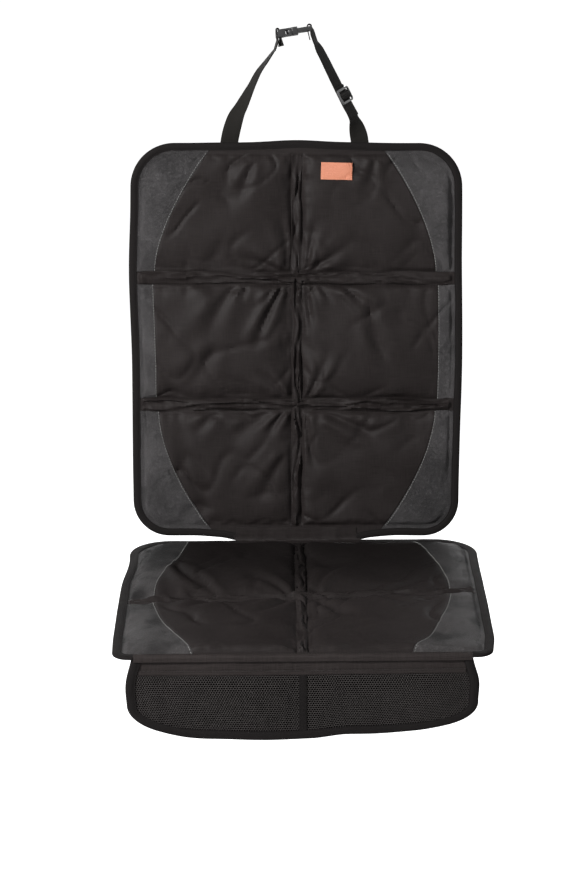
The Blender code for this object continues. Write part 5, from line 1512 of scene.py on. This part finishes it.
# Label
def label(quilt):
    """A bare leather tag with a softened edge, stitched round its border."""
    width, height, turn = LABEL_WIDTH, LABEL_HEIGHT, LABEL_TURN
    u0, v0 = LABEL_X, BACK_HEIGHT - LABEL_DROP
    columns, rows = 44, 24
    a = np.linspace(-width / 2, width / 2, columns + 1)[None, :]
    b = np.linspace(-height / 2, height / 2, rows + 1)[:, None]
    a, b = np.broadcast_arrays(a, b)
    near = np.minimum(width / 2 - np.abs(a), height / 2 - np.abs(b))
    u = u0 + a * math.cos(turn) - b * math.sin(turn)
    v = v0 + a * math.sin(turn) + b * math.cos(turn)
    surface = surface_height(quilt, u, v)
    smooth = surface.mean() + (surface - surface.mean()) * 0.6
    lift = 0.0010 + 0.0008 + 0.00035 * ease((near - 0.0001) / 0.0009) - 0.0003 * bell(near - 0.0022, 0.0007)
    grid = BACK.place(u, v, np.maximum(smooth, surface - 0.0004) + lift)
    keep = np.ones((rows, columns), bool)
    made = cloth("label", grid, keep, LABEL_THICK, LABEL, np.stack([a, b], axis=-1))
    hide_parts("label")
    ring = [(2, c) for c in range(2, columns - 1)] + [(r, columns - 2) for r in range(2, rows - 1)]
    ring += [(rows - 2, c) for c in range(columns - 2, 1, -1)] + [(r, 2) for r in range(rows - 2, 1, -1)]
    lines = [np.array([grid[r, c] + BACK.out * THREAD_LIFT for r, c in ring])]
    stitches("label_stitches", lines, PALE_THREAD, pitch=0.0026, length=0.0019, radius=0.00026)


def surface_height(quilt, u, v):
    """Height of the face cloth at any places, from the nearest grid points."""
    found = np.empty_like(u)
    for k in np.ndindex(u.shape):
        row = int(np.argmin(np.abs(quilt.rows - v[k])))
        col = int(np.argmin(np.abs(quilt.U[row] - u[k])))
        found[k] = quilt.H[row, col]
    return found


def main():
    look()
    studio()
    back = Quilt(
        BACK, BACK_WIDTH, 0.0, BACK_HEIGHT, BACK_RADII, (LOWER_CHANNEL, UPPER_CHANNEL), back_seam, FLAT_EDGE,
        0.0, BACK_FOLDS, 11
    )
    seat = Quilt(
        SEAT, SEAT_WIDTH, -SEAT_DEPTH / 2, SEAT_DEPTH / 2, SEAT_RADII, (SEAT_CHANNEL,), seat_seam,
        FRONT_HEM_LAP + 0.001, SEAT_SKEW, SEAT_FOLDS, 31
    )
    backing_sheet(back, "back_backing")
    backing_sheet(seat, "seat_backing")
    quilt_pieces(
        back, "back_face", ("bottom", "middle", "top"), "back"
    )
    quilt_pieces(seat, "seat_face", ("front", "rear"), "seat")

    black_lines, grey_lines, tape_lines = [], [], []
    for quilt in (back, seat):
        grid = quilt.points() + quilt.plane.out * THREAD_LIFT
        for middle in quilt.channels:
            for edge in (-CHANNEL_WIDTH / 2, CHANNEL_WIDTH / 2):
                row = int(np.argmin(np.abs(quilt.rows - middle - edge)))
                black_lines.append(grid[row, 4:-4])
        for col in (quilt.spine_col, quilt.cols - 1 - quilt.spine_col):
            black_lines.append(grid[quilt.marks[1] : quilt.marks[-2], col])
        for cell in range(len(quilt.channels) + 1):
            first, last = quilt.marks[2 * cell + 1], quilt.marks[2 * cell + 2]
            for col in (quilt.seam_col - 1, quilt.cols - quilt.seam_col):
                grey_lines.append(grid[first + 1 : last, col])

    start = NECK_WIDTH / 2 + 0.0013
    loop = [np.array([[start, 0.0]]), corner_points(back, 1.0, False)[::-1], corner_points(back, 1.0, True)]
    loop += [
        corner_points(back, -1.0, True)[::-1], corner_points(back, -1.0, False), np.array([[-start, 0.0]])
    ]
    tape_lines.append(
        wrap_tape(
            "back_binding", BACK, np.concatenate(loop)[::-1], TAPE_LAP - 0.0016, TAPE_UNDER, TAPE_OVER, 41,
            back_edge
        )
    )
    hem_end = hem_half() + 2 * FIT_GAP
    for side, name in ((-1.0, "seat_binding_left"), (1.0, "seat_binding_right")):
        parts = [np.array([[side * start, seat.high]]), corner_points(seat, side, True)[::-1]]
        parts += [corner_points(seat, side, False), np.array([[side * hem_end, seat.low]])]
        path = np.concatenate(parts)
        tape_lines.append(
            wrap_tape(name, SEAT, path if side > 0 else path[::-1], TAPE_LAP, TAPE_UNDER, TAPE_OVER, 43)
        )
    flap_over = EDGE_LIFT + FLAP_PANEL + FIT_GAP + POCKET_MESH + FIT_GAP
    tape_lines.append(
        wrap_tape("flap_binding", FLAP, flap_path(), TAPE_LAP, EDGE_LIFT - FIT_GAP, flap_over, 45)
    )
    tape_lines += front_hem()
    tape_lines += neck()

    flap_panel()
    net_pocket(-1.0, "pocket_net_left")
    net_pocket(1.0, "pocket_net_right")
    over = EDGE_LIFT + FLAP_PANEL + 2 * FIT_GAP + POCKET_MESH
    reach = FLAP_TOP_WIDTH / 2 - TAPE_LAP - FIT_GAP
    level = -POCKET_DROP - HEM_WIDTH / 2
    tape_lines += flat_tape(
        "pocket_hem", FLAP, [(reach, level), (-reach, level)], HEM_WIDTH, over, 47, material=HEM_CLOTH
    )
    ends = [(0.0, -POCKET_DROP - HEM_WIDTH - FIT_GAP), (0.0, -FLAP_HEIGHT + TAPE_LAP + FIT_GAP)]
    tape_lines += flat_tape("pocket_seam_tape", FLAP, ends, 0.010, over, 48)

    for side, name in ((-1.0, "strap_left"), (1.0, "strap_right")):
        route, ways, loop, loop_ways = strap_shape(side)
        webbing(name, route + loop, ways + loop_ways)
    loose_end()
    moulded("strap_slide", RIM, 0.0012)
    moulded("buckle_socket", PLASTIC, 0.0006)
    moulded("buckle_plug", PLASTIC, 0.0005)
    label(back)

    stitches("quilting_stitches", black_lines, BLACK_THREAD)
    stitches(
        "patch_stitches", grey_lines, GREY_THREAD, pitch=SEAM_PITCH, length=SEAM_LENGTH,
        radius=SEAM_RADIUS
    )
    stitches("tape_stitches", tape_lines, BLACK_THREAD)


main()
